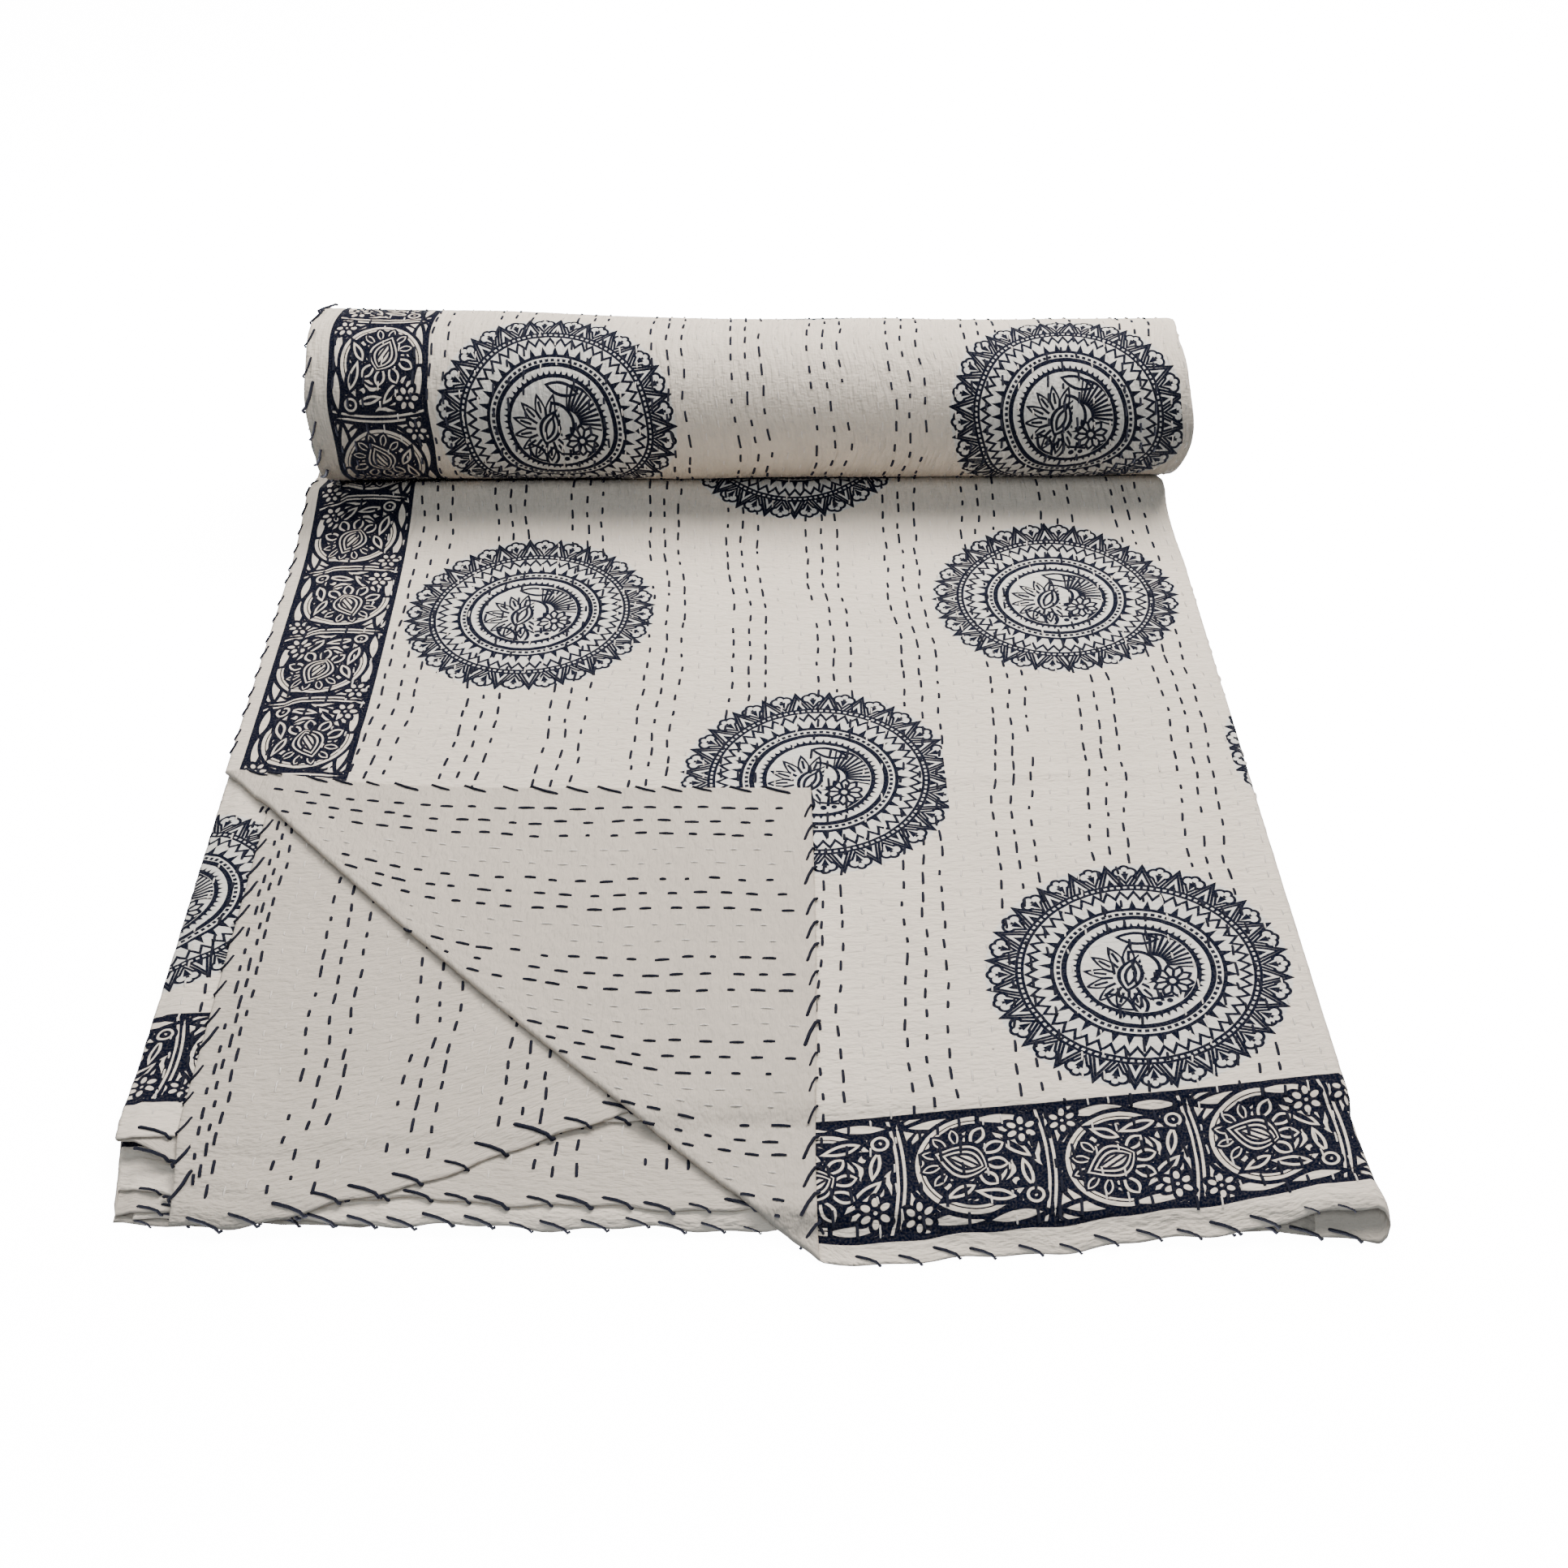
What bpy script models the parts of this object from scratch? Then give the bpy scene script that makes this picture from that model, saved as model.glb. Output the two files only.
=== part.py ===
"""Kantha quilt: folded lengthwise in four, folded across in half with the far
half underneath, then rolled up from that cross fold towards the near end.  The
near left corner of the top layer is turned back over the stack.

Frame: metres, +Z up, the near end at -Y, origin at the middle of the footprint.
"""
import math

import bmesh
import bpy

# Cloth and stack
CLOTH = 0.0012
LAYER_GAP = 0.00045
PITCH = CLOTH + LAYER_GAP
LAYER_COUNT = 8
STACK = LAYER_COUNT * PITCH - LAYER_GAP

# Flat part, seen from above
LEFT_FOLD = -0.283
RIGHT_FOLD = 0.282
INNER_FOLD_INSET = 0.004
FLAT_END = 0.230
FLAT_LENGTH = 0.575

# Roll: its middle lies above the line where the stack leaves the surface
ROLL_Y = 0.283
ROLL_HEIGHT = 0.0633
ROLL_TURNS = 3.5
ROLL_LEFT = -0.268
ROLL_RIGHT = 0.2833
STEPS_PER_TURN = 28
TURN_LAG = 0.0015
END_RIPPLE = 0.0016
BAND_START = 0.224
BAND_LIFT = 0.00005

# Turned-back corner of the top layer
CORNER_LEG = 0.326
CORNER_RADIUS = 0.0020
CORNER_SETTLE = 0.030
CORNER_PULL = 0.027
CORNER_PULL_REACH = 0.060
CORNER_STEPS = 6

# The top layer sags by two layers where those below end short of it, and then
# hangs over the lower half's near edge down to the surface
SAG_START = -0.235
SAG_LENGTH = 0.060
SAG_LAYERS = 2
SAG_FROM_LEVEL = 6.5
SUPPORT_EDGE = -0.3215
DROOP_RADIUS = 0.008
DROOP_ANGLE = math.radians(50)

# The stack is puffed up round its near right fold
PUFF = 0.22
PUFF_WIDTH = 0.050
PUFF_DEPTH = 0.080

# Mesh spacing
RUN_STEPS = 7
TOP_RUN_STEPS = 12
TURN_STEPS = 6
LENGTH_STATIONS = (0.0, 0.008, 0.016, 0.024, 0.034, 0.055, 0.085, 0.14, 0.21, 0.30, 0.42, FLAT_LENGTH)

# Each half runs back and forth in four layers.  Level 0 lies lowest; a cut side
# edge is where the layer starts or ends at the left; the near edge's y is given
# at each place in NEAR_X across the quilt.
NEAR_X = (LEFT_FOLD, -0.21, -0.05, 0.07, RIGHT_FOLD)
#    layer   level  cut edge  near edge
UPPER_HALF = (
    ("front", 7, -0.2840, (-0.342, -0.343, -0.345, -0.3465, -0.333)),
    ("back", 4, None, (-0.280, -0.304, -0.317, -0.322, -0.327)),
    ("third", 5, None, (-0.280, -0.277, -0.270, -0.262, -0.257)),
    ("second", 6, -0.2550, (-0.324, -0.322, -0.262, -0.259, -0.257)),
)
LOWER_HALF = (
    ("front", 0, -0.2830, (-0.316, -0.317, -0.318, -0.318, -0.322)),
    ("back", 3, None, (-0.314, -0.316, -0.318, -0.319, -0.320)),
    ("third", 2, None, (-0.312, -0.314, -0.316, -0.317, -0.318)),
    ("second", 1, -0.2740, (-0.313, -0.315, -0.316, -0.317, -0.318)),
)


def smooth(value):
    value = min(max(value, 0.0), 1.0)
    return value * value * (3.0 - 2.0 * value)


def level_height(level):
    return level * PITCH + CLOTH / 2


def near_edge(ys, x):
    """Near edge of one layer at x, read along NEAR_X."""
    x = min(max(x, NEAR_X[0]), NEAR_X[-1])
    for i in range(len(NEAR_X) - 1):
        if x <= NEAR_X[i + 1]:
            share = (x - NEAR_X[i]) / (NEAR_X[i + 1] - NEAR_X[i])
            return ys[i] + share * (ys[i + 1] - ys[i])
    return ys[-1]


def chain_pieces(half):
    """Runs and turns of one half, from its left selvedge round to its last one."""
    front, back, third, second = half
    inner_fold = RIGHT_FOLD - INNER_FOLD_INSET
    route = ((front, front[2], RIGHT_FOLD), (back, RIGHT_FOLD, LEFT_FOLD),
             (third, LEFT_FOLD, inner_fold), (second, inner_fold, second[2]))
    radii = [abs(level_height(route[k][0][1]) - level_height(route[k + 1][0][1])) / 2 for k in range(3)]
    pieces = []
    start = 0.0
    for k, (layer, x0, x1) in enumerate(route):
        side = 1 if x1 > x0 else -1
        x0 += side * radii[k - 1] if k > 0 else 0.0
        x1 -= side * radii[k] if k < 3 else 0.0
        length = abs(x1 - x0)
        pieces.append({"kind": "run", "start": start, "length": length, "x0": x0, "side": side, "layer": layer})
        start += length
        if k < 3:
            turn = {"kind": "turn", "start": start, "length": math.pi * radii[k], "x0": x1, "side": side,
                    "radius": radii[k], "layer": layer, "next": route[k + 1][0]}
            pieces.append(turn)
            start += turn["length"]
    return pieces


def section(pieces, u):
    """Place across the stack at u along the cloth's width: x, z, tangent, near edge y."""
    piece = next((p for p in pieces if u <= p["start"] + p["length"] + 1e-7), pieces[-1])
    along = u - piece["start"]
    z0 = level_height(piece["layer"][1])
    if piece["kind"] == "run":
        x = piece["x0"] + piece["side"] * along
        return x, z0, (piece["side"], 0.0), near_edge(piece["layer"][3], x)
    angle = math.pi * along / piece["length"]
    z1 = level_height(piece["next"][1])
    x = piece["x0"] + piece["side"] * piece["radius"] * math.sin(angle)
    z = z0 + (z1 - z0) * (1 - math.cos(angle)) / 2
    tangent = (piece["side"] * math.cos(angle), math.copysign(math.sin(angle), z1 - z0))
    share = angle / math.pi
    near = (1 - share) * near_edge(piece["layer"][3], x) + share * near_edge(piece["next"][3], x)
    return x, z, tangent, near


def turn_corner(u, v, n):
    """Fold the near left corner of the top layer back along its diagonal."""
    d = (CORNER_LEG - u - v) / math.sqrt(2)
    if d <= 0:
        return u, v, n
    angle = min(d / CORNER_RADIUS, math.pi)
    beyond = d - angle * CORNER_RADIUS
    reach = (CORNER_RADIUS - n) * math.sin(angle) - beyond
    drop = (2 * CORNER_RADIUS - PITCH) * smooth(beyond / CORNER_SETTLE)
    height = CORNER_RADIUS * (1 - math.cos(angle)) + n * math.cos(angle) - drop
    shift = (d - reach) / math.sqrt(2)
    pull = CORNER_PULL * (1 - math.exp(-beyond / CORNER_PULL_REACH))
    return u + shift, v + shift - pull, height


def hang(y, z, n):
    """Let cloth that reaches past the layers below bend down to the surface."""
    over = SUPPORT_EDGE - y
    if over <= 0 or z < STACK / 2:
        return y, z + n
    angle = min(over / DROOP_RADIUS, DROOP_ANGLE)
    straight = over - angle * DROOP_RADIUS
    floor = CLOTH / 2
    z_arc = z - DROOP_RADIUS * (1 - math.cos(angle))
    fall = min(straight * math.sin(angle), z_arc - floor)
    slope_length = fall / math.sin(angle)
    y_mid = SUPPORT_EDGE - DROOP_RADIUS * math.sin(angle) - slope_length * math.cos(angle)
    flat = straight - slope_length
    tilt = angle if flat < 1e-6 else 0.0
    return y_mid - flat - n * math.sin(tilt), z_arc - fall + n * math.cos(tilt)


def lie(pieces, u, v, n, has_corner):
    """World place of the cloth at (u, v), n above its middle surface."""
    if has_corner:
        u, v, n = turn_corner(u, v, n)
    x, z, tangent, near = section(pieces, u)
    y = near + v * (FLAT_END - near) / FLAT_LENGTH
    x -= n * tangent[1]
    rise = n * tangent[0]
    if z > level_height(SAG_FROM_LEVEL):
        z -= smooth((SAG_START - y) / SAG_LENGTH) * SAG_LAYERS * PITCH
    y, z = hang(y, z, rise)
    puff = math.exp(-((x - RIGHT_FOLD) / PUFF_WIDTH) ** 2 - ((y - SUPPORT_EDGE) / PUFF_DEPTH) ** 2)
    return x, y, z * (1 + PUFF * puff)


def pattern_lines(pieces):
    lines = [0.0]
    for piece in pieces:
        steps = TURN_STEPS
        if piece["kind"] == "run":
            steps = TOP_RUN_STEPS if piece["start"] == 0.0 else RUN_STEPS
        lines += [piece["start"] + piece["length"] * (k + 1) / steps for k in range(steps)]
    return lines


def flat_pattern(lines, has_corner):
    """The half's cloth laid out flat, cut along the lines where it will bend."""
    mesh = bmesh.new()
    grid = [[mesh.verts.new((u, v, 0.0)) for v in LENGTH_STATIONS] for u in lines]
    for i in range(len(lines) - 1):
        for j in range(len(LENGTH_STATIONS) - 1):
            mesh.faces.new((grid[i][j], grid[i + 1][j], grid[i + 1][j + 1], grid[i][j + 1]))
    if has_corner:
        arc = math.pi * CORNER_RADIUS
        bends = [arc * k / CORNER_STEPS for k in range(CORNER_STEPS + 1)]
        bends += [arc + CORNER_SETTLE / 3, arc + CORNER_SETTLE]
        for d in bends:
            leg = CORNER_LEG - d * math.sqrt(2)
            geometry = mesh.verts[:] + mesh.edges[:] + mesh.faces[:]
            bmesh.ops.bisect_plane(mesh, geom=geometry, dist=1e-6, plane_co=(leg, 0, 0), plane_no=(1, 1, 0))
    return mesh


def cloth_half(name, half, has_corner):
    """One half of the quilt's flat part: a closed sheet that runs back and forth."""
    pieces = chain_pieces(half)
    pattern = flat_pattern(pattern_lines(pieces), has_corner)
    sheet = bmesh.new()
    faces_up, faces_down = {}, {}
    for vert in pattern.verts:
        u, v = vert.co.x, vert.co.y
        faces_up[vert] = sheet.verts.new(lie(pieces, u, v, CLOTH / 2, has_corner))
        faces_down[vert] = sheet.verts.new(lie(pieces, u, v, -CLOTH / 2, has_corner))
    for face in pattern.faces:
        sheet.faces.new([faces_up[v] for v in face.verts])
        sheet.faces.new([faces_down[v] for v in reversed(face.verts)])
    for edge in pattern.edges:
        if edge.is_boundary:
            a, b = edge.verts
            sheet.faces.new((faces_up[a], faces_down[a], faces_down[b], faces_up[b]))
    pattern.free()
    bmesh.ops.recalc_face_normals(sheet, faces=sheet.faces[:])
    return object_from(name, sheet)


def rolled_band():
    """All the layers together, from under the roll round its turns to the core."""
    steps = round(ROLL_TURNS * STEPS_PER_TURN)
    stations = [(BAND_START, 0.0)] + [(ROLL_Y, 2 * math.pi * k / STEPS_PER_TURN) for k in range(steps + 1)]
    rings = []
    mesh = bmesh.new()
    for y, angle in stations:
        outer = ROLL_HEIGHT - BAND_LIFT - (STACK + LAYER_GAP) * angle / (2 * math.pi)
        settle = smooth(angle / (math.pi / 2))
        turn = angle / (2 * math.pi)
        ripple = END_RIPPLE * math.sin(3 * angle) * settle
        left = LEFT_FOLD + (ROLL_LEFT - LEFT_FOLD) * settle + TURN_LAG * turn + ripple
        right = RIGHT_FOLD + (ROLL_RIGHT - RIGHT_FOLD) * settle - TURN_LAG * turn + ripple
        ring = []
        for x, radius in ((left, outer), (right, outer), (right, outer - STACK), (left, outer - STACK)):
            place = (x, y + radius * math.sin(angle), ROLL_HEIGHT - radius * math.cos(angle))
            ring.append(mesh.verts.new(place))
        rings.append(ring)
    for first, second in zip(rings, rings[1:]):
        for k in range(4):
            mesh.faces.new((first[k], first[(k + 1) % 4], second[(k + 1) % 4], second[k]))
    mesh.faces.new(rings[0][::-1])
    mesh.faces.new(rings[-1])
    bmesh.ops.recalc_face_normals(mesh, faces=mesh.faces[:])
    return object_from("quilt", mesh)


def object_from(name, mesh):
    bmesh.ops.triangulate(mesh, faces=[f for f in mesh.faces if len(f.verts) > 4])
    data = bpy.data.meshes.new(name)
    mesh.to_mesh(data)
    mesh.free()
    obj = bpy.data.objects.new(name, data)
    bpy.context.scene.collection.objects.link(obj)
    return obj


def join_into(body, addition):
    """Union a part-shape into the quilt's one solid."""
    addition.hide_render = True
    addition.display_type = "WIRE"
    union = body.modifiers.new(addition.name, "BOOLEAN")
    union.operation = "UNION"
    union.solver = "EXACT"
    union.object = addition


def cotton():
    material = bpy.data.materials.new("cotton")
    material.use_nodes = True
    shader = material.node_tree.nodes["Principled BSDF"]
    shader.inputs["Base Color"].default_value = (0.61, 0.55, 0.50, 1.0)
    shader.inputs["Roughness"].default_value = 0.9
    shader.inputs["Metallic"].default_value = 0.0
    return material


def main():
    for obj in list(bpy.data.objects):
        bpy.data.objects.remove(obj, do_unlink=True)
    quilt = rolled_band()
    join_into(quilt, cloth_half("upper_half", UPPER_HALF, True))
    join_into(quilt, cloth_half("lower_half", LOWER_HALF, False))
    quilt.data.materials.append(cotton())


main()
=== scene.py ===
"""Kantha quilt, folded in eight and rolled up from its cross fold: the cloth, its block
print and its stitching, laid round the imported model.

Metres, +Z up, the near end at -Y.  Cloth places are (u, v): u runs across the quilt from
its first side edge, and v lengthwise from an end edge.
"""
import math
from collections import namedtuple

import bmesh
import bpy
import mathutils
import numpy as np
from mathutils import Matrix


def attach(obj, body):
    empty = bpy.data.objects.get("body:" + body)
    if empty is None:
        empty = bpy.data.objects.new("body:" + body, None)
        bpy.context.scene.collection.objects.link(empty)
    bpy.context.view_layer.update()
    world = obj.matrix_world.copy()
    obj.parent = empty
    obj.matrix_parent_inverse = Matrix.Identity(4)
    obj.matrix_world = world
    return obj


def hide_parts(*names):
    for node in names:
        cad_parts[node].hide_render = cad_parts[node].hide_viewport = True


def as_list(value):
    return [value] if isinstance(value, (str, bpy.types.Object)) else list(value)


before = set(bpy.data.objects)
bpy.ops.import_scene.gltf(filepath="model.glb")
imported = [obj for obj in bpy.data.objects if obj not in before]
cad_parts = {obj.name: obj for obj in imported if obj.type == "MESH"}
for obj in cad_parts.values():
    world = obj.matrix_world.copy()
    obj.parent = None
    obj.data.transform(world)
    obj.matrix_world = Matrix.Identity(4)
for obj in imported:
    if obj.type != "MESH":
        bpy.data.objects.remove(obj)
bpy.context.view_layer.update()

FULL_TURN = 2 * math.pi

# ---------------------------------------------------------------- sizes
# Cloth and stack
CLOTH = 0.0012
LAYER_GAP = 0.00045
PITCH = CLOTH + LAYER_GAP
LAYER_COUNT = 8
STACK = LAYER_COUNT * PITCH - LAYER_GAP
# how far to each side a place is compared with, to find which way the cloth faces
NORMAL_STEP = 0.0003

# Flat part, seen from above: the side folds' x, and the y up to which the lengths are told
LEFT_FOLD, RIGHT_FOLD = -0.283, 0.282
INNER_FOLD_INSET = 0.004
FLAT_END = 0.230
QUILT_LENGTH = 2.750
UPPER_LENGTH, LOWER_LENGTH = 0.575, 0.548

# Roll: its middle lies at ROLL_HEIGHT above the line where the stack leaves the surface. The
# folds lie between its ends, drawn in by TURN_LAG at each turn, and each turn is nearer the
# middle by TURN_STEP.
ROLL_Y = 0.283
ROLL_HEIGHT = 0.0633
ROLL_TURNS = 3.5
ROLL_LEFT, ROLL_RIGHT = -0.268, 0.2833
TURN_LAG = 0.0015
TURN_STEP = STACK + LAYER_GAP

# Turned-back corner of the top layer: its length along each edge, the bend's radius, how far
# from the bend it has settled flat, and how far it is pulled towards the near end
CORNER_LEG = 0.326
CORNER_RADIUS = 0.0011
CORNER_SETTLE = 0.038
CORNER_PULL = 0.027
CORNER_PULL_REACH = 0.060
# its folded edge bows out towards the corner: how far at the middle, how much of that is lost
# at its two ends, how much more it is on one side, and how far in from the fold it reaches
CORNER_BOW = 0.0082
CORNER_BOW_LOSS, CORNER_BOW_TILT = 0.68, 0.17
CORNER_BOW_REACH = 0.090

# Cloth that reaches past the edge of what lies under it slopes down over this distance, but
# the stack keeps its full height at its sides over the last stretch before the roll
END_SLOPE = 0.011
SIDE_SLOPE = 0.008
FULL_SIDES = 0.045

# The stack is puffed up round its near right fold, by this share of its height
PUFF, PUFF_Y = 0.24, -0.3215
PUFF_WIDTH, PUFF_DEPTH = 0.050, 0.080

# The stack's near left corner, and its right folds close to the roll, draw in: how far, the y
# where that starts and the distance it takes, and the same across the stack
NEAR_LEFT_TUCK, NEAR_TUCK_Y, NEAR_TUCK_DEPTH = 0.007, -0.255, 0.06
FAR_RIGHT_TUCK, FAR_TUCK_Y, FAR_TUCK_DEPTH, FAR_TUCK_END = 0.0055, 0.165, 0.07, 0.025
SIDE_TUCK_X, SIDE_TUCK_WIDTH = 0.20, 0.08

# The stack swells where it runs in under the roll: places in y, and the share it gains at each
ROLL_PUFF_Y = (0.165, 0.190, 0.220, 0.240, 0.247, 0.251, 0.255, 0.260, 0.265, 0.270, 0.275, 0.280, ROLL_Y)
ROLL_PUFF = (0.0, 0.13, 0.60, 1.07, 1.23, 1.23, 1.08, 0.84, 0.60, 0.38, 0.22, 0.10, 0.0)

# Open folds: the layers from a level up stand off the ones below: level, x, y, height, width, depth
OPEN_FOLDS = ((7, 0.276, -0.336, 0.0046, 0.036, 0.040), (4, -0.280, -0.288, 0.0068, 0.026, 0.030))

# Quilting: rows run lengthwise in groups of three dark and two white; the groups are laid out
# from both side edges, and from the far one they start nearer to it by SIDE_SHIFT, after three
# rows close to that edge
GROUP_PITCH = 0.0503
FIRST_ROW = 0.0165
SIDE_SHIFT = 0.0196
FAR_EDGE_ROWS = (0.0086, 0.0127, 0.0170)
DARK_ROWS = (0.0, 0.0098, 0.0196)
WHITE_ROWS = (0.0300, 0.0400)
ROW_SPACING = 0.0101
STITCH_PITCH = 0.0135
DARK_STITCH = 0.0060
WHITE_STITCH = 0.0044
# the cloth puffs up between the rows, is drawn in beside them, and crinkles across them
PUCKER = 0.00026
PUCKER_WIDTH = 0.0030
CRINKLE, CRINKLE_LENGTH = 0.00005, 0.0097
# a cut edge has this share of the thickness, and the rest is reached over this distance
EDGE_SHARE, EDGE_ROUND = 0.35, 0.0012

# Each layer: level 0 lies lowest; a cut edge is where it starts or ends at the left; the
# near edge's y is given at each place in NEAR_X, before it slopes down over an end.
NEAR_X = (LEFT_FOLD, -0.21, -0.13, -0.05, 0.07, 0.18, RIGHT_FOLD)
Layer = namedtuple("Layer", "level cut_edge near")
TOP = Layer(7, -0.2840, (-0.3420, -0.3430, -0.3440, -0.3445, -0.3450, -0.3395, -0.3300))
SECOND = Layer(6, -0.2550, (-0.3240, -0.3240, -0.3010, -0.2680, -0.2620, -0.2590, -0.2570))
THIRD = Layer(5, None, (-0.2800, -0.2770, -0.2740, -0.2700, -0.2620, -0.2590, -0.2570))
FOURTH = Layer(4, None, (-0.2800, -0.3040, -0.3120, -0.3170, -0.3220, -0.3290, -0.3375))
FIFTH = Layer(3, None, (-0.3000, -0.3170, -0.3225, -0.3250, -0.3270, -0.3280, -0.3290))
SIXTH = Layer(2, None, (-0.3120, -0.3140, -0.3150, -0.3160, -0.3170, -0.3176, -0.3180))
SEVENTH = Layer(1, -0.2740, (-0.3130, -0.3150, -0.3156, -0.3160, -0.3170, -0.3176, -0.3180))
LOWEST = Layer(0, -0.2830, (-0.3160, -0.3170, -0.3176, -0.3180, -0.3182, -0.3200, -0.3220))
STACKED = (LOWEST, SEVENTH, SIXTH, FIFTH, FOURTH, THIRD, SECOND, TOP)
UPPER_HALF = (TOP, FOURTH, THIRD, SECOND)
LOWER_HALF = (LOWEST, FIFTH, SIXTH, SEVENTH)


# ---------------------------------------------------------------- how the cloth lies
def smooth(value):
    """Eases from 0 to 1 as the value goes from 0 to 1."""
    value = np.clip(value, 0.0, 1.0)
    return value * value * (3.0 - 2.0 * value)


def bell(distance, width):
    """1 at no distance, falling away over the width."""
    return np.exp(-(distance / width) ** 2)


def curve_through(x, places, values):
    """Smooth curve through the values given at the places."""
    places, values = np.array(places), np.array(values)
    slopes = np.gradient(values, places)
    x = np.clip(x, places[0], places[-1])
    k = np.clip(np.searchsorted(places, x) - 1, 0, len(places) - 2)
    span = places[k + 1] - places[k]
    t = (x - places[k]) / span
    return (values[k] * (1 + 2 * t) * (1 - t) ** 2 + values[k + 1] * t * t * (3 - 2 * t)
            + span * (slopes[k] * t * (1 - t) ** 2 - slopes[k + 1] * t * t * (1 - t)))


def near_edge(layer, x):
    """The y of the layer's near edge at x."""
    return curve_through(x, NEAR_X, layer.near) + edge_wave(layer, x)


EDGE_WAVE_REACH = 0.022


def edge_wave(layer, x):
    """The whipped edge's own small waves."""
    return 0.0010 * np.sin(x * 83 + layer.level * 1.7) + 0.0007 * np.sin(x * 197 + layer.level * 2.9)


def presence(layer, x, y):
    """1 over the layer, easing to 0 beyond its near edge and its cut side edge."""
    cover = smooth((y - near_edge(layer, x)) / END_SLOPE + 1)
    if layer.cut_edge is not None:
        beside = smooth((x - layer.cut_edge) / SIDE_SLOPE + 1)
        cover = cover * np.maximum(beside, smooth((y - ROLL_Y) / FULL_SIDES + 1))
    return cover


def rest_height(layer, x, y):
    """Height of the layer's middle where it lies on the layers below it."""
    below = sum(presence(other, x, y) for other in STACKED[:layer.level])
    puff = PUFF * bell(x - RIGHT_FOLD, PUFF_WIDTH) * bell(y - PUFF_Y, PUFF_DEPTH)
    puff = puff + curve_through(y, ROLL_PUFF_Y, ROLL_PUFF)
    height = (CLOTH / 2 + PITCH * below) * (1 + puff)
    for level, open_x, open_y, lift, width, depth in OPEN_FOLDS:
        if layer.level >= level:
            height = height + lift * bell(x - open_x, width) * bell(y - open_y, depth)
    return height


# Where the layers' lie is worked out: across the quilt, and from the roll to the near end
TABLE_X = np.linspace(LEFT_FOLD - 0.02, RIGHT_FOLD + 0.02, 150)
TABLE_Y = np.linspace(ROLL_Y, -0.375, 660)


def lay_out(layer):
    """For each x across the quilt: y and z along the layer, by cloth length from the roll."""
    x, y = np.meshgrid(TABLE_X, TABLE_Y, indexing="ij")
    z = rest_height(layer, x, y)
    step = np.hypot(np.diff(y, axis=1), np.diff(z, axis=1))
    length = np.concatenate([np.zeros((len(TABLE_X), 1)), np.cumsum(step, axis=1)], axis=1)
    even = np.linspace(0, length[:, -1].min(), len(TABLE_Y))
    rows = range(len(TABLE_X))
    return (even, np.array([np.interp(even, length[k], y[k]) for k in rows]),
            np.array([np.interp(even, length[k], z[k]) for k in rows]))


LAID = {layer: lay_out(layer) for layer in STACKED}


def read_table(table, x, along):
    """Value between the table's four nearest entries; x and along are in table steps."""
    i = np.clip(np.floor(x).astype(int), 0, table.shape[0] - 2)
    j = np.clip(np.floor(along).astype(int), 0, table.shape[1] - 2)
    fx, fa = x - i, along - j
    return ((table[i, j] * (1 - fx) + table[i + 1, j] * fx) * (1 - fa)
            + (table[i, j + 1] * (1 - fx) + table[i + 1, j + 1] * fx) * fa)


def layer_place(layer, x, v, length):
    """World place on a layer's flat stretch at x, v from its near edge."""
    near = curve_through(x, NEAR_X, layer.near)
    wave = edge_wave(layer, x) * np.exp(-np.abs(v) / EDGE_WAVE_REACH)
    unrolled = near + v * (FLAT_END - near) / length + wave
    unrolled = np.where(v > length, FLAT_END + v - length, unrolled)
    even, ys, zs = LAID[layer]
    i = (x - TABLE_X[0]) / (TABLE_X[1] - TABLE_X[0])
    j = (ROLL_Y - unrolled) / (even[1] - even[0])
    return np.stack([x, read_table(ys, i, j), read_table(zs, i, j)], axis=-1)


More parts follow.
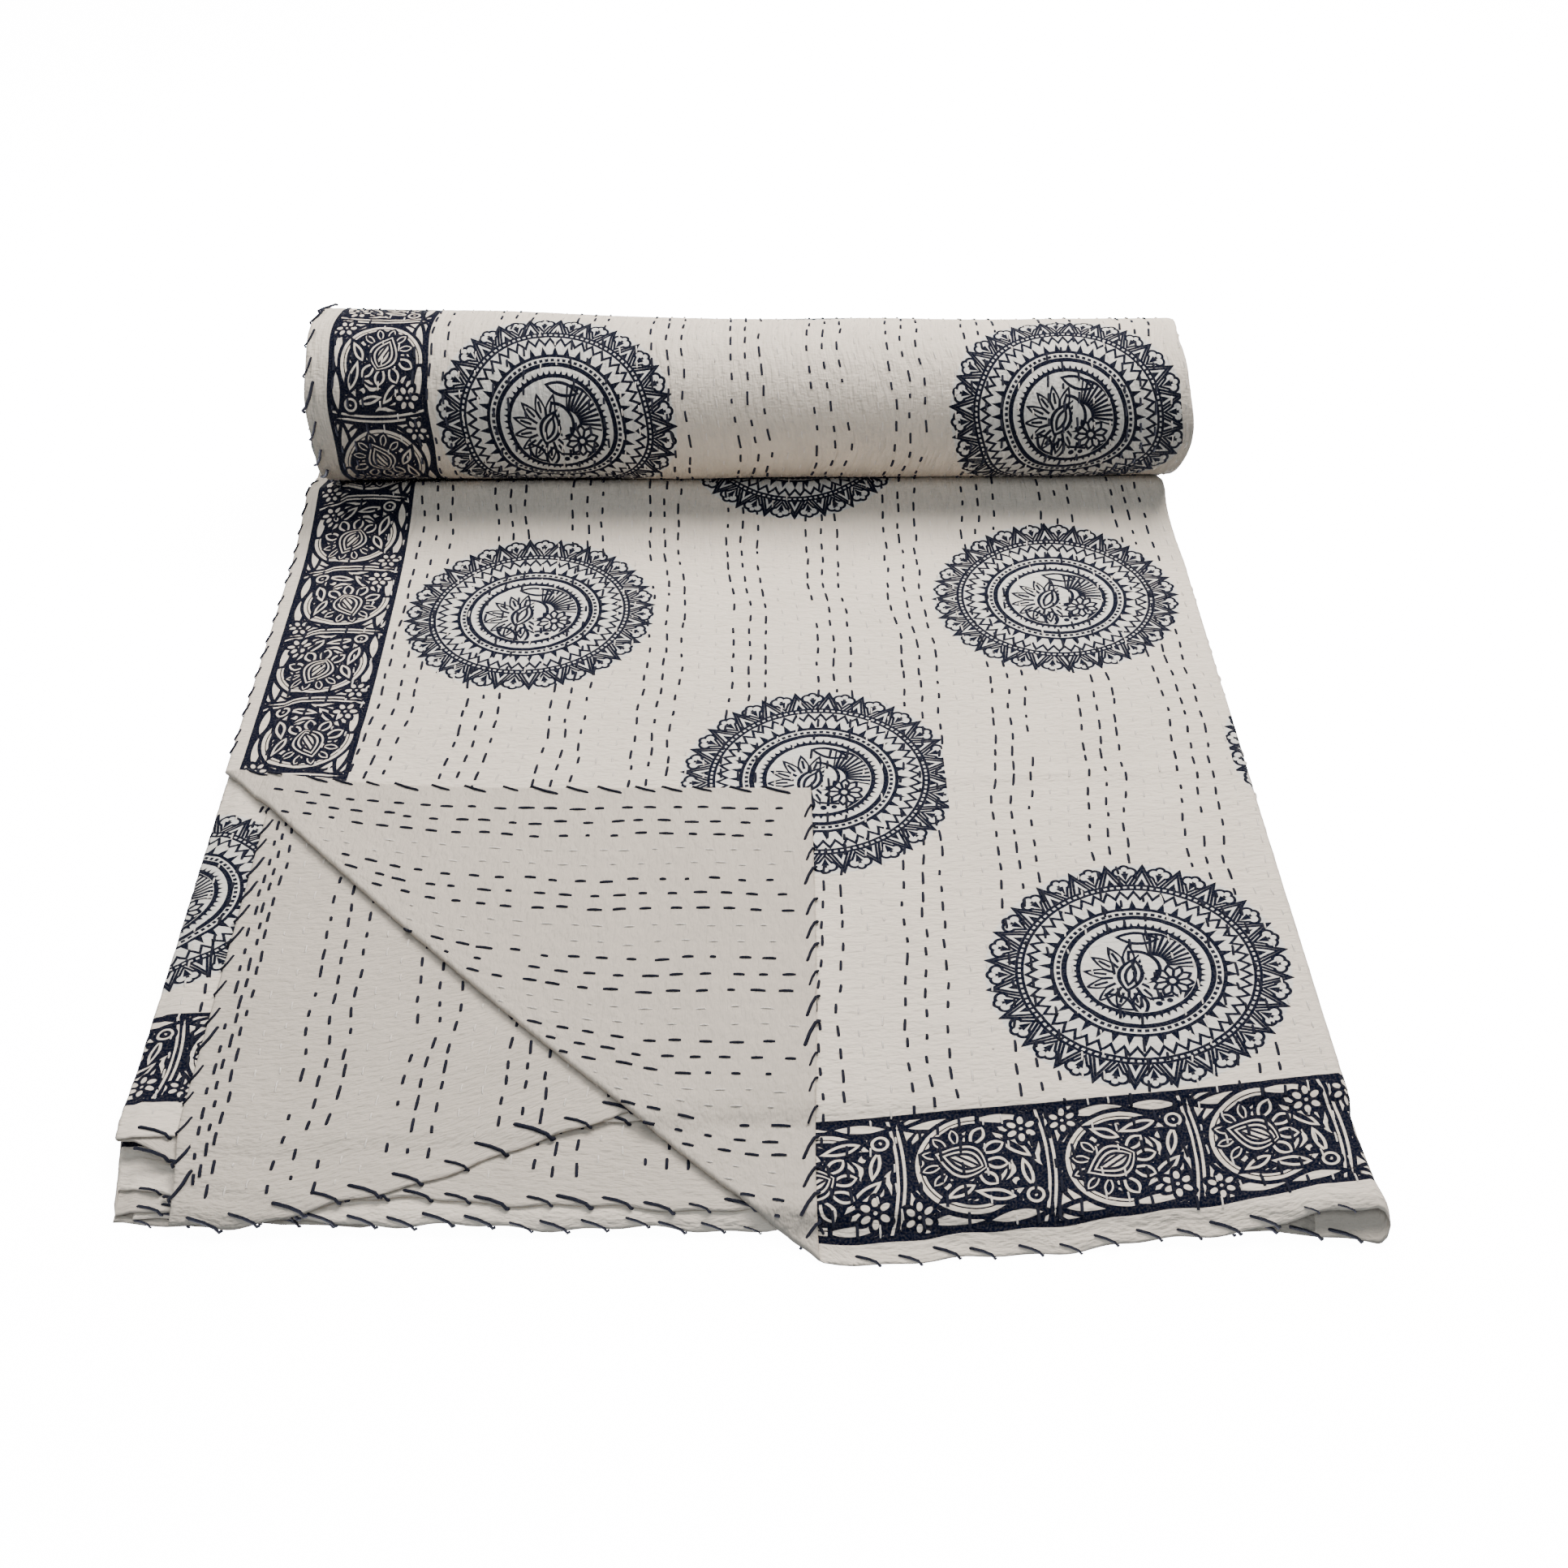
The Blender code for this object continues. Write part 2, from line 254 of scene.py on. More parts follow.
class Half:
    """One half of the quilt's flat part: four runs joined by three side folds."""

    def __init__(self, layers, length, printed_side):
        self.layers, self.length, self.printed_side = layers, length, printed_side
        inner_fold = RIGHT_FOLD - INNER_FOLD_INSET
        ends = ((layers[0].cut_edge, RIGHT_FOLD), (RIGHT_FOLD, LEFT_FOLD),
                (LEFT_FOLD, inner_fold), (inner_fold, layers[3].cut_edge))
        self.radii = [abs(layers[k].level - layers[k + 1].level) * PITCH / 2 for k in range(3)]
        self.runs, self.turns, start = [], [], 0.0
        for k, (x0, x1) in enumerate(ends):
            side = 1 if x1 > x0 else -1
            x0 += side * self.radii[k - 1] if k else 0.0
            x1 -= side * self.radii[k] if k < 3 else 0.0
            self.runs.append((start, start + abs(x1 - x0), x0, side))
            start += abs(x1 - x0)
            if k < 3:
                self.turns.append((start, start + math.pi * self.radii[k], x1, side))
                start += math.pi * self.radii[k]
        self.width = start

    def place(self, u, v):
        """Where the cloth's middle lies; past the outer edges the outer runs go straight on."""
        out = np.zeros(u.shape + (3,))
        for k, (start, end, x0, side) in enumerate(self.runs):
            here = (u >= start if k else u > -1) & (u <= end if k < 3 else u < 99)
            x = x0 + side * (u[here] - start)
            out[here] = layer_place(self.layers[k], x, v[here], self.length)
        for k, (start, end, x0, side) in enumerate(self.turns):
            here = (u > start) & (u < end)
            angle = math.pi * (u[here] - start) / (end - start)
            at = np.full(angle.shape, x0)
            first = layer_place(self.layers[k], at, v[here], self.length)
            last = layer_place(self.layers[k + 1], at, v[here], self.length)
            middle, reach = (first + last) / 2, (first - last) / 2
            height = np.abs(reach[:, 2:3])
            out[here] = middle + reach * np.cos(angle)[:, None]
            out[here] += height * np.sin(angle)[:, None] * np.array([side, 0.0, 0.0])
        x, y = out[..., 0].copy(), out[..., 1]
        at_near_end = smooth((NEAR_TUCK_Y - y) / NEAR_TUCK_DEPTH)
        out[..., 0] += NEAR_LEFT_TUCK * at_near_end * smooth((-SIDE_TUCK_X - x) / SIDE_TUCK_WIDTH)
        at_roll = smooth((y - FAR_TUCK_Y) / FAR_TUCK_DEPTH) * smooth((ROLL_Y - y) / FAR_TUCK_END)
        out[..., 0] -= FAR_RIGHT_TUCK * at_roll * smooth((x - SIDE_TUCK_X) / SIDE_TUCK_WIDTH)
        return out


UPPER = Half(UPPER_HALF, UPPER_LENGTH, 1)
LOWER = Half(LOWER_HALF, LOWER_LENGTH, -1)


def turned_corner(u, v):
    """Where (u, v) comes to lie on the top layer, and how far above it, once its corner is folded back."""
    d = (CORNER_LEG - u - v) / math.sqrt(2)
    angle = np.clip(d / CORNER_RADIUS, 0, math.pi)
    beyond = np.maximum(d - math.pi * CORNER_RADIUS, 0)
    reach = np.where(d > 0, CORNER_RADIUS * np.sin(angle) - beyond, 0)
    drop = (2 * CORNER_RADIUS - PITCH) * smooth(beyond / CORNER_SETTLE)
    height = np.where(d > 0, CORNER_RADIUS * (1 - np.cos(angle)) - drop, 0)
    shift = np.where(d > 0, (d - reach) / math.sqrt(2), 0)
    pull = CORNER_PULL * (1 - np.exp(-beyond / CORNER_PULL_REACH))
    share = np.clip((u - v) / CORNER_LEG, -1, 1)
    bow = CORNER_BOW * (1 - CORNER_BOW_LOSS * share ** 2 + CORNER_BOW_TILT * share)
    bow = bow * bell(np.where(d > 0, beyond, d), CORNER_BOW_REACH)
    return u + shift - bow, v + shift - pull - bow, height, beyond


def normals_of(place, u, v):
    """Which way the cloth faces, from places a little to each side."""
    step = NORMAL_STEP
    across = place(u + step, v) - place(u - step, v)
    along = place(u, v + step) - place(u, v - step)
    normal = np.cross(across, along)
    return normal / np.linalg.norm(normal, axis=-1, keepdims=True)


def top_place(u, v):
    """Middle of the top layer, its corner turned back."""
    u, v, height, beyond = turned_corner(u, v)
    at = UPPER.place(u, v)
    lift = height + top_creases(at, beyond)
    return at + lift[..., None] * np.array([0.0, 0.0, 1.0])


def top_creases(at, beyond):
    """Old fold marks and soft swells left in the top layer, always upwards."""
    x, y = at[..., 0], at[..., 1]
    lift = 0.0
    for crease_y, slant, start, end, tall, wide in TOP_CREASES:
        reach = smooth((x - start) / CREASE_FADE) * smooth((end - x) / CREASE_FADE)
        lift = lift + tall * reach * bell(y - crease_y - slant * (x - start), wide)
    swell = np.sin(x * 31 + 1.3 * np.sin(y * 17)) * np.sin(y * 27 + 0.8) + 1
    within = smooth((y + 0.325) / 0.02) * smooth((ROLL_Y - 0.03 - y) / 0.03)
    return (lift + TOP_SWELL * swell) * within


TOP_SWELL = 0.00035
CREASE_FADE = 0.05
# crease y at its start, slant, first x, last x, height, half-width
TOP_CREASES = (
    (-0.035, 0.03, 0.075, 0.290, 0.0012, 0.0045),
    (0.142, -0.02, 0.060, 0.290, 0.0009, 0.0040),
    (-0.215, 0.05, 0.060, 0.260, 0.0008, 0.0040),
    (0.010, 0.02, -0.290, -0.080, 0.0008, 0.0050),
)


# ---------------------------------------------------------------- rows of quilting
def row_drift(r, v):
    """How far the hand-sewn rows wander sideways; r is a row's own place across the quilt."""
    drift = DRIFT_MIDWAY * smooth((v - 0.20) / 0.22) - DRIFT_BACK * smooth((v - 0.60) / 0.05)
    drift = drift + DRIFT_IN_CORNER * smooth(r / 0.20) * smooth((CORNER_LEG + 0.024 - r - v) / 0.05)
    for size, along, across, phase in ROW_WAVES:
        drift = drift + size * np.sin(FULL_TURN * (along * v + across * r) + phase)
    return drift * smooth(r / DRIFT_FREE) * smooth((UPPER.width - r) / DRIFT_FREE)


# the rows lean over midway to the roll, come back in the roll, and spread in the turned corner;
# the drift fades out towards the side edges
DRIFT_MIDWAY, DRIFT_BACK, DRIFT_IN_CORNER = 0.0105, 0.0077, 0.020
DRIFT_FREE = 0.03
# size, waves per metre along, waves per metre across, phase
ROW_WAVES = (
    (0.0019, 2.3, 1.1, 0.4),
    (0.0012, 5.1, 2.3, 2.1),
    (0.0007, 11.3, 4.7, 4.0),
    (0.0004, 23.0, 19.0, 1.2),
)


def u_on_row(r, v):
    """Where the row r runs, at v."""
    return r + row_drift(r, v)


def row_at(u, v):
    """The row's own place r for which u_on_row gives u."""
    r = u - row_drift(u, v)
    for _ in range(12):
        r = u - row_drift(r, v)
    return r


def rows_across(first, last):
    """Every row between the two places across the quilt: its place, and whether it is dark."""
    from_near, from_far = [], [(place, True) for place in FAR_EDGE_ROWS]
    for group in range(int(UPPER.width / 2 / GROUP_PITCH) + 1):
        for offset in DARK_ROWS + WHITE_ROWS:
            place, is_dark = FIRST_ROW + group * GROUP_PITCH + offset, offset in DARK_ROWS
            from_near.append((place, is_dark))
            if place - SIDE_SHIFT > FAR_EDGE_ROWS[-1] + 0.004:
                from_far.append((place - SIDE_SHIFT, is_dark))
    middle = UPPER.width / 2 - 0.004
    rows = [row for row in from_near if row[0] < middle]
    rows += [(UPPER.width - place, is_dark) for place, is_dark in from_far if place < middle]
    return sorted(row for row in rows if first < row[0] < last)


def side_place(r):
    """Place measured from the nearer side edge, as the rows are laid out from both."""
    return np.minimum(r, UPPER.width + SIDE_SHIFT - r)


def half_thickness(r, v, edge_distance):
    """Half the cloth's thickness: drawn in along the rows, puffed between them, rounded at edges."""
    place = np.mod(side_place(r) - FIRST_ROW, GROUP_PITCH)
    away = np.full(np.shape(r), 1.0)
    for offset in DARK_ROWS + WHITE_ROWS + (GROUP_PITCH,):
        away = np.minimum(away, np.abs(place - offset))
    row_number = np.round((r - FIRST_ROW) / ROW_SPACING)
    pull = 0.5 + 0.5 * np.sin(FULL_TURN * v / STITCH_PITCH + row_number * 2.4)
    between = np.sin(FULL_TURN * v / CRINKLE_LENGTH + np.sin(r * 310) * 1.7)
    puffed = PUCKER * (1 - bell(away, PUCKER_WIDTH) * (0.55 + 0.45 * pull)) + CRINKLE * between
    edge = EDGE_SHARE + (1 - EDGE_SHARE) * smooth(edge_distance / EDGE_ROUND)
    return (CLOTH / 2 - 0.0001 + puffed) * edge


# ---------------------------------------------------------------- meshes of cloth
def merged_lines(*groups, apart=0.0005):
    """All the groups' grid lines in order, without those too close to the one before."""
    lines = sorted(np.concatenate([np.atleast_1d(group) for group in groups]))
    kept = [lines[0]]
    for line in lines[1:]:
        if line - kept[-1] > apart:
            kept.append(line)
    kept[-1] = lines[-1]
    return np.array(kept)


def grid_pattern(across, along):
    """Vertices and quads of a grid cut flat from the cloth."""
    r, t = np.meshgrid(across, along, indexing="ij")
    count = len(along)
    i, j = np.meshgrid(np.arange(len(across) - 1), np.arange(count - 1), indexing="ij")
    first = (i * count + j).ravel()
    faces = np.stack([first, first + count, first + count + 1, first + 1], axis=1)
    return r.ravel(), t.ravel(), [list(map(int, face)) for face in faces]


def bent_on_diagonals(u, v, faces, bends):
    """The pattern cut along lines parallel to the turned corner's fold."""
    mesh = bmesh.new()
    verts = [mesh.verts.new((a, b, 0.0)) for a, b in zip(u, v)]
    for face in faces:
        mesh.faces.new([verts[k] for k in face])
    for d in bends:
        leg = CORNER_LEG - d * math.sqrt(2)
        geometry = mesh.verts[:] + mesh.edges[:] + mesh.faces[:]
        bmesh.ops.bisect_plane(mesh, geom=geometry, dist=1e-5, plane_co=(leg, 0, 0), plane_no=(1, 1, 0))
    mesh.verts.index_update()
    u = np.array([vert.co.x for vert in mesh.verts])
    v = np.array([vert.co.y for vert in mesh.verts])
    faces = [[vert.index for vert in face.verts] for face in mesh.faces]
    mesh.free()
    return u, v, faces


def rim_edges(faces):
    """Edges used by one face only, in that face's direction."""
    seen = {}
    for face in faces:
        for a, b in zip(face, face[1:] + face[:1]):
            if (b, a) in seen:
                del seen[(b, a)]
            else:
                seen[(a, b)] = True
    return list(seen)


def closed_cloth(name, place, u, t, v, faces, printed_side, edge_distance, materials):
    """A closed sheet on both sides of its middle surface, with its cloth places as UV maps."""
    r = row_at(u, v)
    middle, normal = place(u, t), normals_of(place, u, t)
    half = half_thickness(r, v, edge_distance)[:, None]
    count = len(u)
    points = np.concatenate([middle + normal * half, middle - normal * half])
    below = [[k + count for k in reversed(face)] for face in faces]
    rim = [[b, a, a + count, b + count] for a, b in rim_edges(faces)]
    mesh = bpy.data.meshes.new(name)
    mesh.from_pydata(points.tolist(), [], faces + below + rim)
    sides = [0 if printed_side > 0 else 1] * len(faces) + [1 if printed_side > 0 else 0] * len(below)
    mesh.polygons.foreach_set("material_index", sides + [1] * len(rim))
    mesh.polygons.foreach_set("use_smooth", [True] * len(mesh.polygons))
    corner = np.zeros(len(mesh.loops), dtype=np.int32)
    mesh.loops.foreach_get("vertex_index", corner)
    corner %= count
    from_near_end = v if printed_side > 0 else QUILT_LENGTH - v
    for map_name, first, second in (("cloth", u, from_near_end), ("rows", r, v)):
        uv = np.stack([first, second], axis=1)[corner].astype(np.float32)
        mesh.uv_layers.new(name=map_name).uv.foreach_set("vector", uv.ravel())
    for material in materials:
        mesh.materials.append(material)
    mesh.update()
    obj = bpy.data.objects.new(name, mesh)
    bpy.context.scene.collection.objects.link(obj)
    return obj


def lines_with_rows(first, last):
    """Grid lines across the cloth: on each row and two evenly between rows."""
    rows = [first] + [r for r, is_dark in rows_across(first, last)] + [last]
    lines = [np.linspace(a, b, 3, endpoint=False) for a, b in zip(rows, rows[1:])]
    return np.append(np.concatenate(lines), last)


def edge_lines(edge, inwards):
    """Close grid lines that round a cut edge."""
    return edge + inwards * np.array([0.0, 0.0005, 0.0012, 0.0022])


# ---------------------------------------------------------------- the folded, flat part
TOP_PIECE_WIDTH = UPPER.turns[0][1] + 0.030
# how far along the cloth each half's flat pieces reach, up to the line where the roll starts
SEAM_LENGTH = UPPER_LENGTH + ROLL_Y - FLAT_END
LOWER_SEAM_LENGTH = LOWER_LENGTH + ROLL_Y - FLAT_END


def fold_lines(half, k, before=0.017, after=0.006, step=0.0013):
    """Close grid lines round the half's side fold number k."""
    start, end = half.turns[k][:2]
    return np.arange(start - before, end + after, step)


def top_layer(materials):
    """The layer on top and its side fold, with its corner turned back."""
    rows = lines_with_rows(0.0, TOP_PIECE_WIDTH)
    across = merged_lines(edge_lines(0.0, 1), rows, fold_lines(UPPER, 0))
    along = merged_lines(edge_lines(0.0, 1), np.arange(0.0044, 0.045, 0.0024), np.arange(0.045, 0.6, 0.0034),
                         np.linspace(0.6, SEAM_LENGTH, 8), apart=0.0006)
    r, v, faces = grid_pattern(across, along)
    arc = math.pi * CORNER_RADIUS
    bends = [arc * k / 6 for k in range(7)] + [arc + CORNER_SETTLE / 4]
    u, v, faces = bent_on_diagonals(u_on_row(r, v), v, faces, bends)
    return closed_cloth("quilt_top_layer", top_place, u, v, v, faces, 1, np.minimum(u, v), materials)


def under_layers(materials):
    """The upper half's other three layers."""
    inner, outer = UPPER.turns[1], UPPER.turns[2]
    # from here on the second layer shows beside the turned corner, so its rows get their grid lines
    second_seen = UPPER.width - 0.330
    across = merged_lines(
        np.arange(TOP_PIECE_WIDTH, 0.80, 0.02), np.arange(0.80, inner[0] - 0.02, 0.005),
        fold_lines(UPPER, 1, step=0.0011), np.arange(inner[1] + 0.006, inner[1] + 0.05, 0.0034),
        np.arange(inner[1] + 0.05, outer[0] - 0.02, 0.02), fold_lines(UPPER, 2, step=0.0011),
        np.arange(outer[1] + 0.007, second_seen, 0.02), lines_with_rows(second_seen, UPPER.width)[1:-1],
        edge_lines(UPPER.width, -1))
    along = merged_lines(edge_lines(0.0, 1), np.arange(0.0044, 0.045, 0.0026), np.arange(0.045, 0.37, 0.0036),
                         np.linspace(0.38, SEAM_LENGTH, 14))
    r, v, faces = grid_pattern(across, along)
    u = u_on_row(r, v)
    edge_distance = np.minimum(UPPER.width - u, v)
    return closed_cloth("quilt_under_layers", UPPER.place, u, v, v, faces, 1, edge_distance, materials)


def lower_layers(materials):
    """The lower half's four layers."""
    turns = LOWER.turns
    across = merged_lines(
        edge_lines(0.0, 1), np.arange(0.004, turns[0][0] - 0.02, 0.01), fold_lines(LOWER, 0, step=0.0014),
        np.arange(turns[0][1] + 0.01, 0.80, 0.01), np.arange(0.80, turns[1][0] - 0.02, 0.0045),
        fold_lines(LOWER, 1, step=0.0011), np.arange(turns[1][1] + 0.01, turns[2][0] - 0.02, 0.01),
        fold_lines(LOWER, 2, step=0.0011), np.arange(turns[2][1] + 0.01, LOWER.width - 0.005, 0.01),
        edge_lines(LOWER.width, -1))
    along = merged_lines(edge_lines(0.0, 1), np.arange(0.0040, 0.045, 0.0022), np.arange(0.046, 0.16, 0.006),
                         np.linspace(0.17, LOWER_SEAM_LENGTH, 36))
    r, v, faces = grid_pattern(across, along)
    u = u_on_row(r, v)
    edge_distance = np.minimum(np.minimum(u, LOWER.width - u), v)
    return closed_cloth("quilt_lower_layers", LOWER.place, u, v, v, faces, -1, edge_distance, materials)


# ---------------------------------------------------------------- the roll
ROLL_END = ROLL_TURNS * FULL_TURN
HALF_STACK = STACK / 2
# how far the outer cover has crept round, against the other layers
COVER_CREEP = 0.0595
# the roll is tucked in where it meets the flat part: how far, at which angle and how widely
ROLL_TUCK, TUCK_ANGLE, TUCK_SPREAD = 0.0062, 5.65, 0.55
# its ends bulge out at the front: left and right, at which angle and how widely
LEFT_BULGE, RIGHT_BULGE, BULGE_ANGLE, BULGE_SPREAD = 0.004, 0.0055, 4.5, 1.0
# its top falls away to the right and rises to the left: shares of its height, the share of its
# length that the rise takes, and the height over which it sets in
ROLL_SLOPE, ROLL_RISE, RISE_SHARE, RISE_FROM = 0.035, 0.066, 0.5, 0.05
# ripples of the rolled edges: their depth, waves to a turn and waves through the stack
RIPPLES = ((0.0011, 3, 260), (0.0006, 7, 540))


def stack_section(half, u):
    """Across the stack at u: x in the flat stack, and height of the layer's middle."""
    x, height = np.zeros(u.shape), np.zeros(u.shape)
    levels = [layer.level * PITCH + CLOTH / 2 for layer in half.layers]
    for k, (start, end, x0, side) in enumerate(half.runs):
        here = (u >= start if k else u > -1) & (u <= end if k < 3 else u < 99)
        x[here], height[here] = x0 + side * (u[here] - start), levels[k]
    for k, (start, end, x0, side) in enumerate(half.turns):
        here = (u > start) & (u < end)
        angle = math.pi * (u[here] - start) / (end - start)
        x[here] = x0 + side * half.radii[k] * np.sin(angle)
        height[here] = (levels[k] + levels[k + 1]) / 2 + (levels[k] - levels[k + 1]) / 2 * np.cos(angle)
    return x, height


def rolled_place(half, swell=0.0):
    """Places in the roll by u and angle: 0 under the roll's middle, then up the back and over."""
    def place(u, angle):
        x, height = stack_section(half, u)
        turned, folded = np.minimum(angle, ROLL_END), np.clip(angle - ROLL_END, 0, math.pi / 2)
        turn = turned / FULL_TURN
        settle = smooth(turned / (math.pi / 2))
        ripple = sum(deep * np.sin(waves * turned + through * height) for deep, waves, through in RIPPLES)
        left = LEFT_FOLD + (ROLL_LEFT - LEFT_FOLD) * settle + TURN_LAG * turn + ripple * settle
        right = RIGHT_FOLD + (ROLL_RIGHT - RIGHT_FOLD) * settle - TURN_LAG * turn + ripple * settle
        front = bell(np.mod(turned, FULL_TURN) - BULGE_ANGLE, BULGE_SPREAD) * settle
        left, right = left - LEFT_BULGE * front, right + RIGHT_BULGE * front
        share = (x - LEFT_FOLD) / (RIGHT_FOLD - LEFT_FOLD)
        off = height - HALF_STACK
        radius = ROLL_HEIGHT - TURN_STEP * turn - HALF_STACK - off * np.cos(folded)
        radius = radius + swell * roll_swell(share, turned) * settle
        from_tuck = np.mod(turned - TUCK_ANGLE + math.pi, FULL_TURN) - math.pi
        radius = radius - ROLL_TUCK * bell(from_tuck, TUCK_SPREAD) * settle
        ahead = np.abs(off) * np.sin(folded)
        y = ROLL_Y + radius * np.sin(turned) + ahead * np.cos(turned)
        z = ROLL_HEIGHT - radius * np.cos(turned) + ahead * np.sin(turned)
        rise = ROLL_RISE * (1 - smooth(share / RISE_SHARE)) * smooth(z / RISE_FROM)
        z = z * (1 - ROLL_SLOPE * smooth(share) + rise)
        return np.stack([left + share * (right - left), y, z], axis=-1)
    return place


def roll_swell(share, angle):
    """Soft unevenness of the roll's outer turn, outwards only."""
    waves = np.sin(share * 17 + angle * 1.3) + np.sin(share * 29 - angle * 2.1 + 1.0) * 0.6
    return (0.00035 * (1.6 + waves)) * smooth((FULL_TURN - angle) / 0.9)


def length_rolled(half, angle, height):
    """Place along the cloth at an angle of the roll, for a layer at this height in the stack."""
    start = half.length + ROLL_Y - FLAT_END
    angle = np.minimum(angle, ROLL_END)
    return start + (ROLL_HEIGHT - height) * angle - TURN_STEP * angle ** 2 / (4 * math.pi)


def rolled_cloth(name, half, across, angles, materials, swell=0.0):
    """A closed sheet of the half's cloth in the roll, between the given lines and angles."""
    r, angle, faces = grid_pattern(across, angles)
    v = length_rolled(half, angle, CLOTH / 2) - (COVER_CREEP if half is LOWER else 0.0)
    u = u_on_row(r, v)
    edge_distance = np.minimum(u, half.width - u)
    place = rolled_place(half, swell)
    return closed_cloth(name, place, u, angle, v, faces, half.printed_side, edge_distance, materials)


def coarse_across(half, first, last):
    """Grid lines for cloth whose rows aren't seen: wide apart, but close round the folds and edges."""
    lines = [np.array([first, last]), np.arange(first, last, 0.07)]
    for k in range(3):
        lines.append(fold_lines(half, k, before=0.016, after=0.006, step=0.0022))
    lines += [edge_lines(0.0, 1), edge_lines(half.width, -1), np.array([0.005, 0.012, half.width - 0.012])]
    lines = np.concatenate(lines)
    return merged_lines(lines[(lines >= first) & (lines <= last)])


def roll(materials):
    """The roll's four pieces, from the outer cover inwards."""
    step = FULL_TURN / 46
    rows = lines_with_rows(0.0, TOP_PIECE_WIDTH)
    cover_across = merged_lines(edge_lines(0.0, 1), rows, fold_lines(LOWER, 0))
    tucked = np.linspace(ROLL_END, ROLL_END + math.pi / 2, 5)
    inner = np.concatenate([np.arange(FULL_TURN, ROLL_END - step / 2, step), tucked])
    every = np.concatenate([np.arange(0, ROLL_END - step / 2, step), tucked])
    return [
        rolled_cloth("roll_cover", LOWER, cover_across, np.linspace(0, FULL_TURN, 108), materials, 1.0),
        rolled_cloth("roll_first_turn", LOWER, coarse_across(LOWER, TOP_PIECE_WIDTH, LOWER.width),
                     np.arange(0, FULL_TURN + step / 2, step), materials),
        rolled_cloth("roll_lower_turns", LOWER, coarse_across(LOWER, 0.0, LOWER.width), inner, materials),
        rolled_cloth("roll_upper_turns", UPPER, coarse_across(UPPER, 0.0, UPPER.width), every, materials)]


# ---------------------------------------------------------------- stitches
# A surface that stitches lie on: its place function, which side of the cloth shows there,
# and the parameter along it for a place v along the cloth.
Surface = namedtuple("Surface", "place side parameter")
Threads = namedtuple("Threads", "at along up reach")


def same(v):
    """On flat cloth, v itself is the parameter."""
    return v


def cover_angle(v):
    """Angle round the roll at v on its outer cover."""
    gone = v + COVER_CREEP - LOWER_SEAM_LENGTH
    first, second = ROLL_HEIGHT - CLOTH / 2, TURN_STEP / (4 * math.pi)
    return (first - np.sqrt(first ** 2 - 4 * second * gone)) / (2 * second)


TOP_SHOWN = Surface(top_place, 1, same)
TOP_TURNED = Surface(top_place, -1, same)
UNDER_PLAIN = Surface(UPPER.place, -1, same)
UNDER_PRINTED = Surface(UPPER.place, 1, same)
LOWER_PLAIN = Surface(LOWER.place, 1, same)
LOWER_PRINTED = Surface(LOWER.place, -1, same)
COVER = Surface(rolled_place(LOWER, 1.0), -1, cover_angle)


def unit(vectors):
    """The vectors, each of length one."""
    return vectors / np.linalg.norm(vectors, axis=-1, keepdims=True)


def sewn_row(surface, r, first, last, length, chance):
    """Running stitches along one row, between the places first and last along the cloth."""
    count = int((last - first) / STITCH_PITCH)
    phase = chance.uniform(0, 1)
    v = first + STITCH_PITCH * (np.arange(count) + phase) + chance.normal(0, STITCH_STRAY, count)
    reach = length * np.clip(chance.normal(1.0, STITCH_UNEVEN, count), 0.4, 1.5)
    sideways = chance.normal(0, STITCH_ASIDE, count)
    keep = (v > first) & (v < last) & (chance.uniform(0, 1, count) > LEFT_OUT)
    v, reach, row = v[keep], reach[keep], r + sideways[keep]
    half = reach / 2
    ahead = surface.place(u_on_row(row, v + half), surface.parameter(v + half))
    behind = surface.place(u_on_row(row, v - half), surface.parameter(v - half))
    u, t = u_on_row(row, v), surface.parameter(v)
    normal = surface.side * normals_of(surface.place, u, t)
    rise = half_thickness(row, v, 1.0)[:, None] + THREAD_RISE
    return Threads(surface.place(u, t) + normal * rise, unit(ahead - behind), normal, reach)


def joined(parts):
    """All the parts' threads as one set."""
    return Threads(*(np.concatenate([getattr(part, field) for part in parts]) for field in Threads._fields))


def whipped_edge(surface, edge, first, last, across, seed, size=1.0):
    """Stitches over a cut edge, which runs across the cloth at v = edge, or else along it at u = edge."""
    chance = np.random.default_rng(seed)
    if surface.side * (1 if across or edge > 0 else -1) > 0:
        first = first + WHIP_SLANT * size
    else:
        last = last - WHIP_SLANT * size
    count = int(abs(last - first) / WHIP_PITCH)
    run = first + (np.arange(count) + 0.5) * (last - first) / count + chance.normal(0, WHIP_STRAY, count)
    fixed = np.full(count, edge)
    u, v = (run, fixed) if across else (fixed, run)
    inward = WHIP_DEPTH * size
    du, dv = (0.0, inward) if across else (inward if edge <= 0 else -inward, 0.0)
    at = surface.place(u, v)
    into = unit(surface.place(u + du, v + dv) - at)
    up = surface.side * normals_of(surface.place, u + du / 2, v + dv / 2)
    up = unit(up - into * np.sum(up * into, axis=1, keepdims=True))
    return Threads(at, np.cross(into, up), up, size * chance.normal(1.0, WHIP_UNEVEN, count).clip(0.6, 1.4))


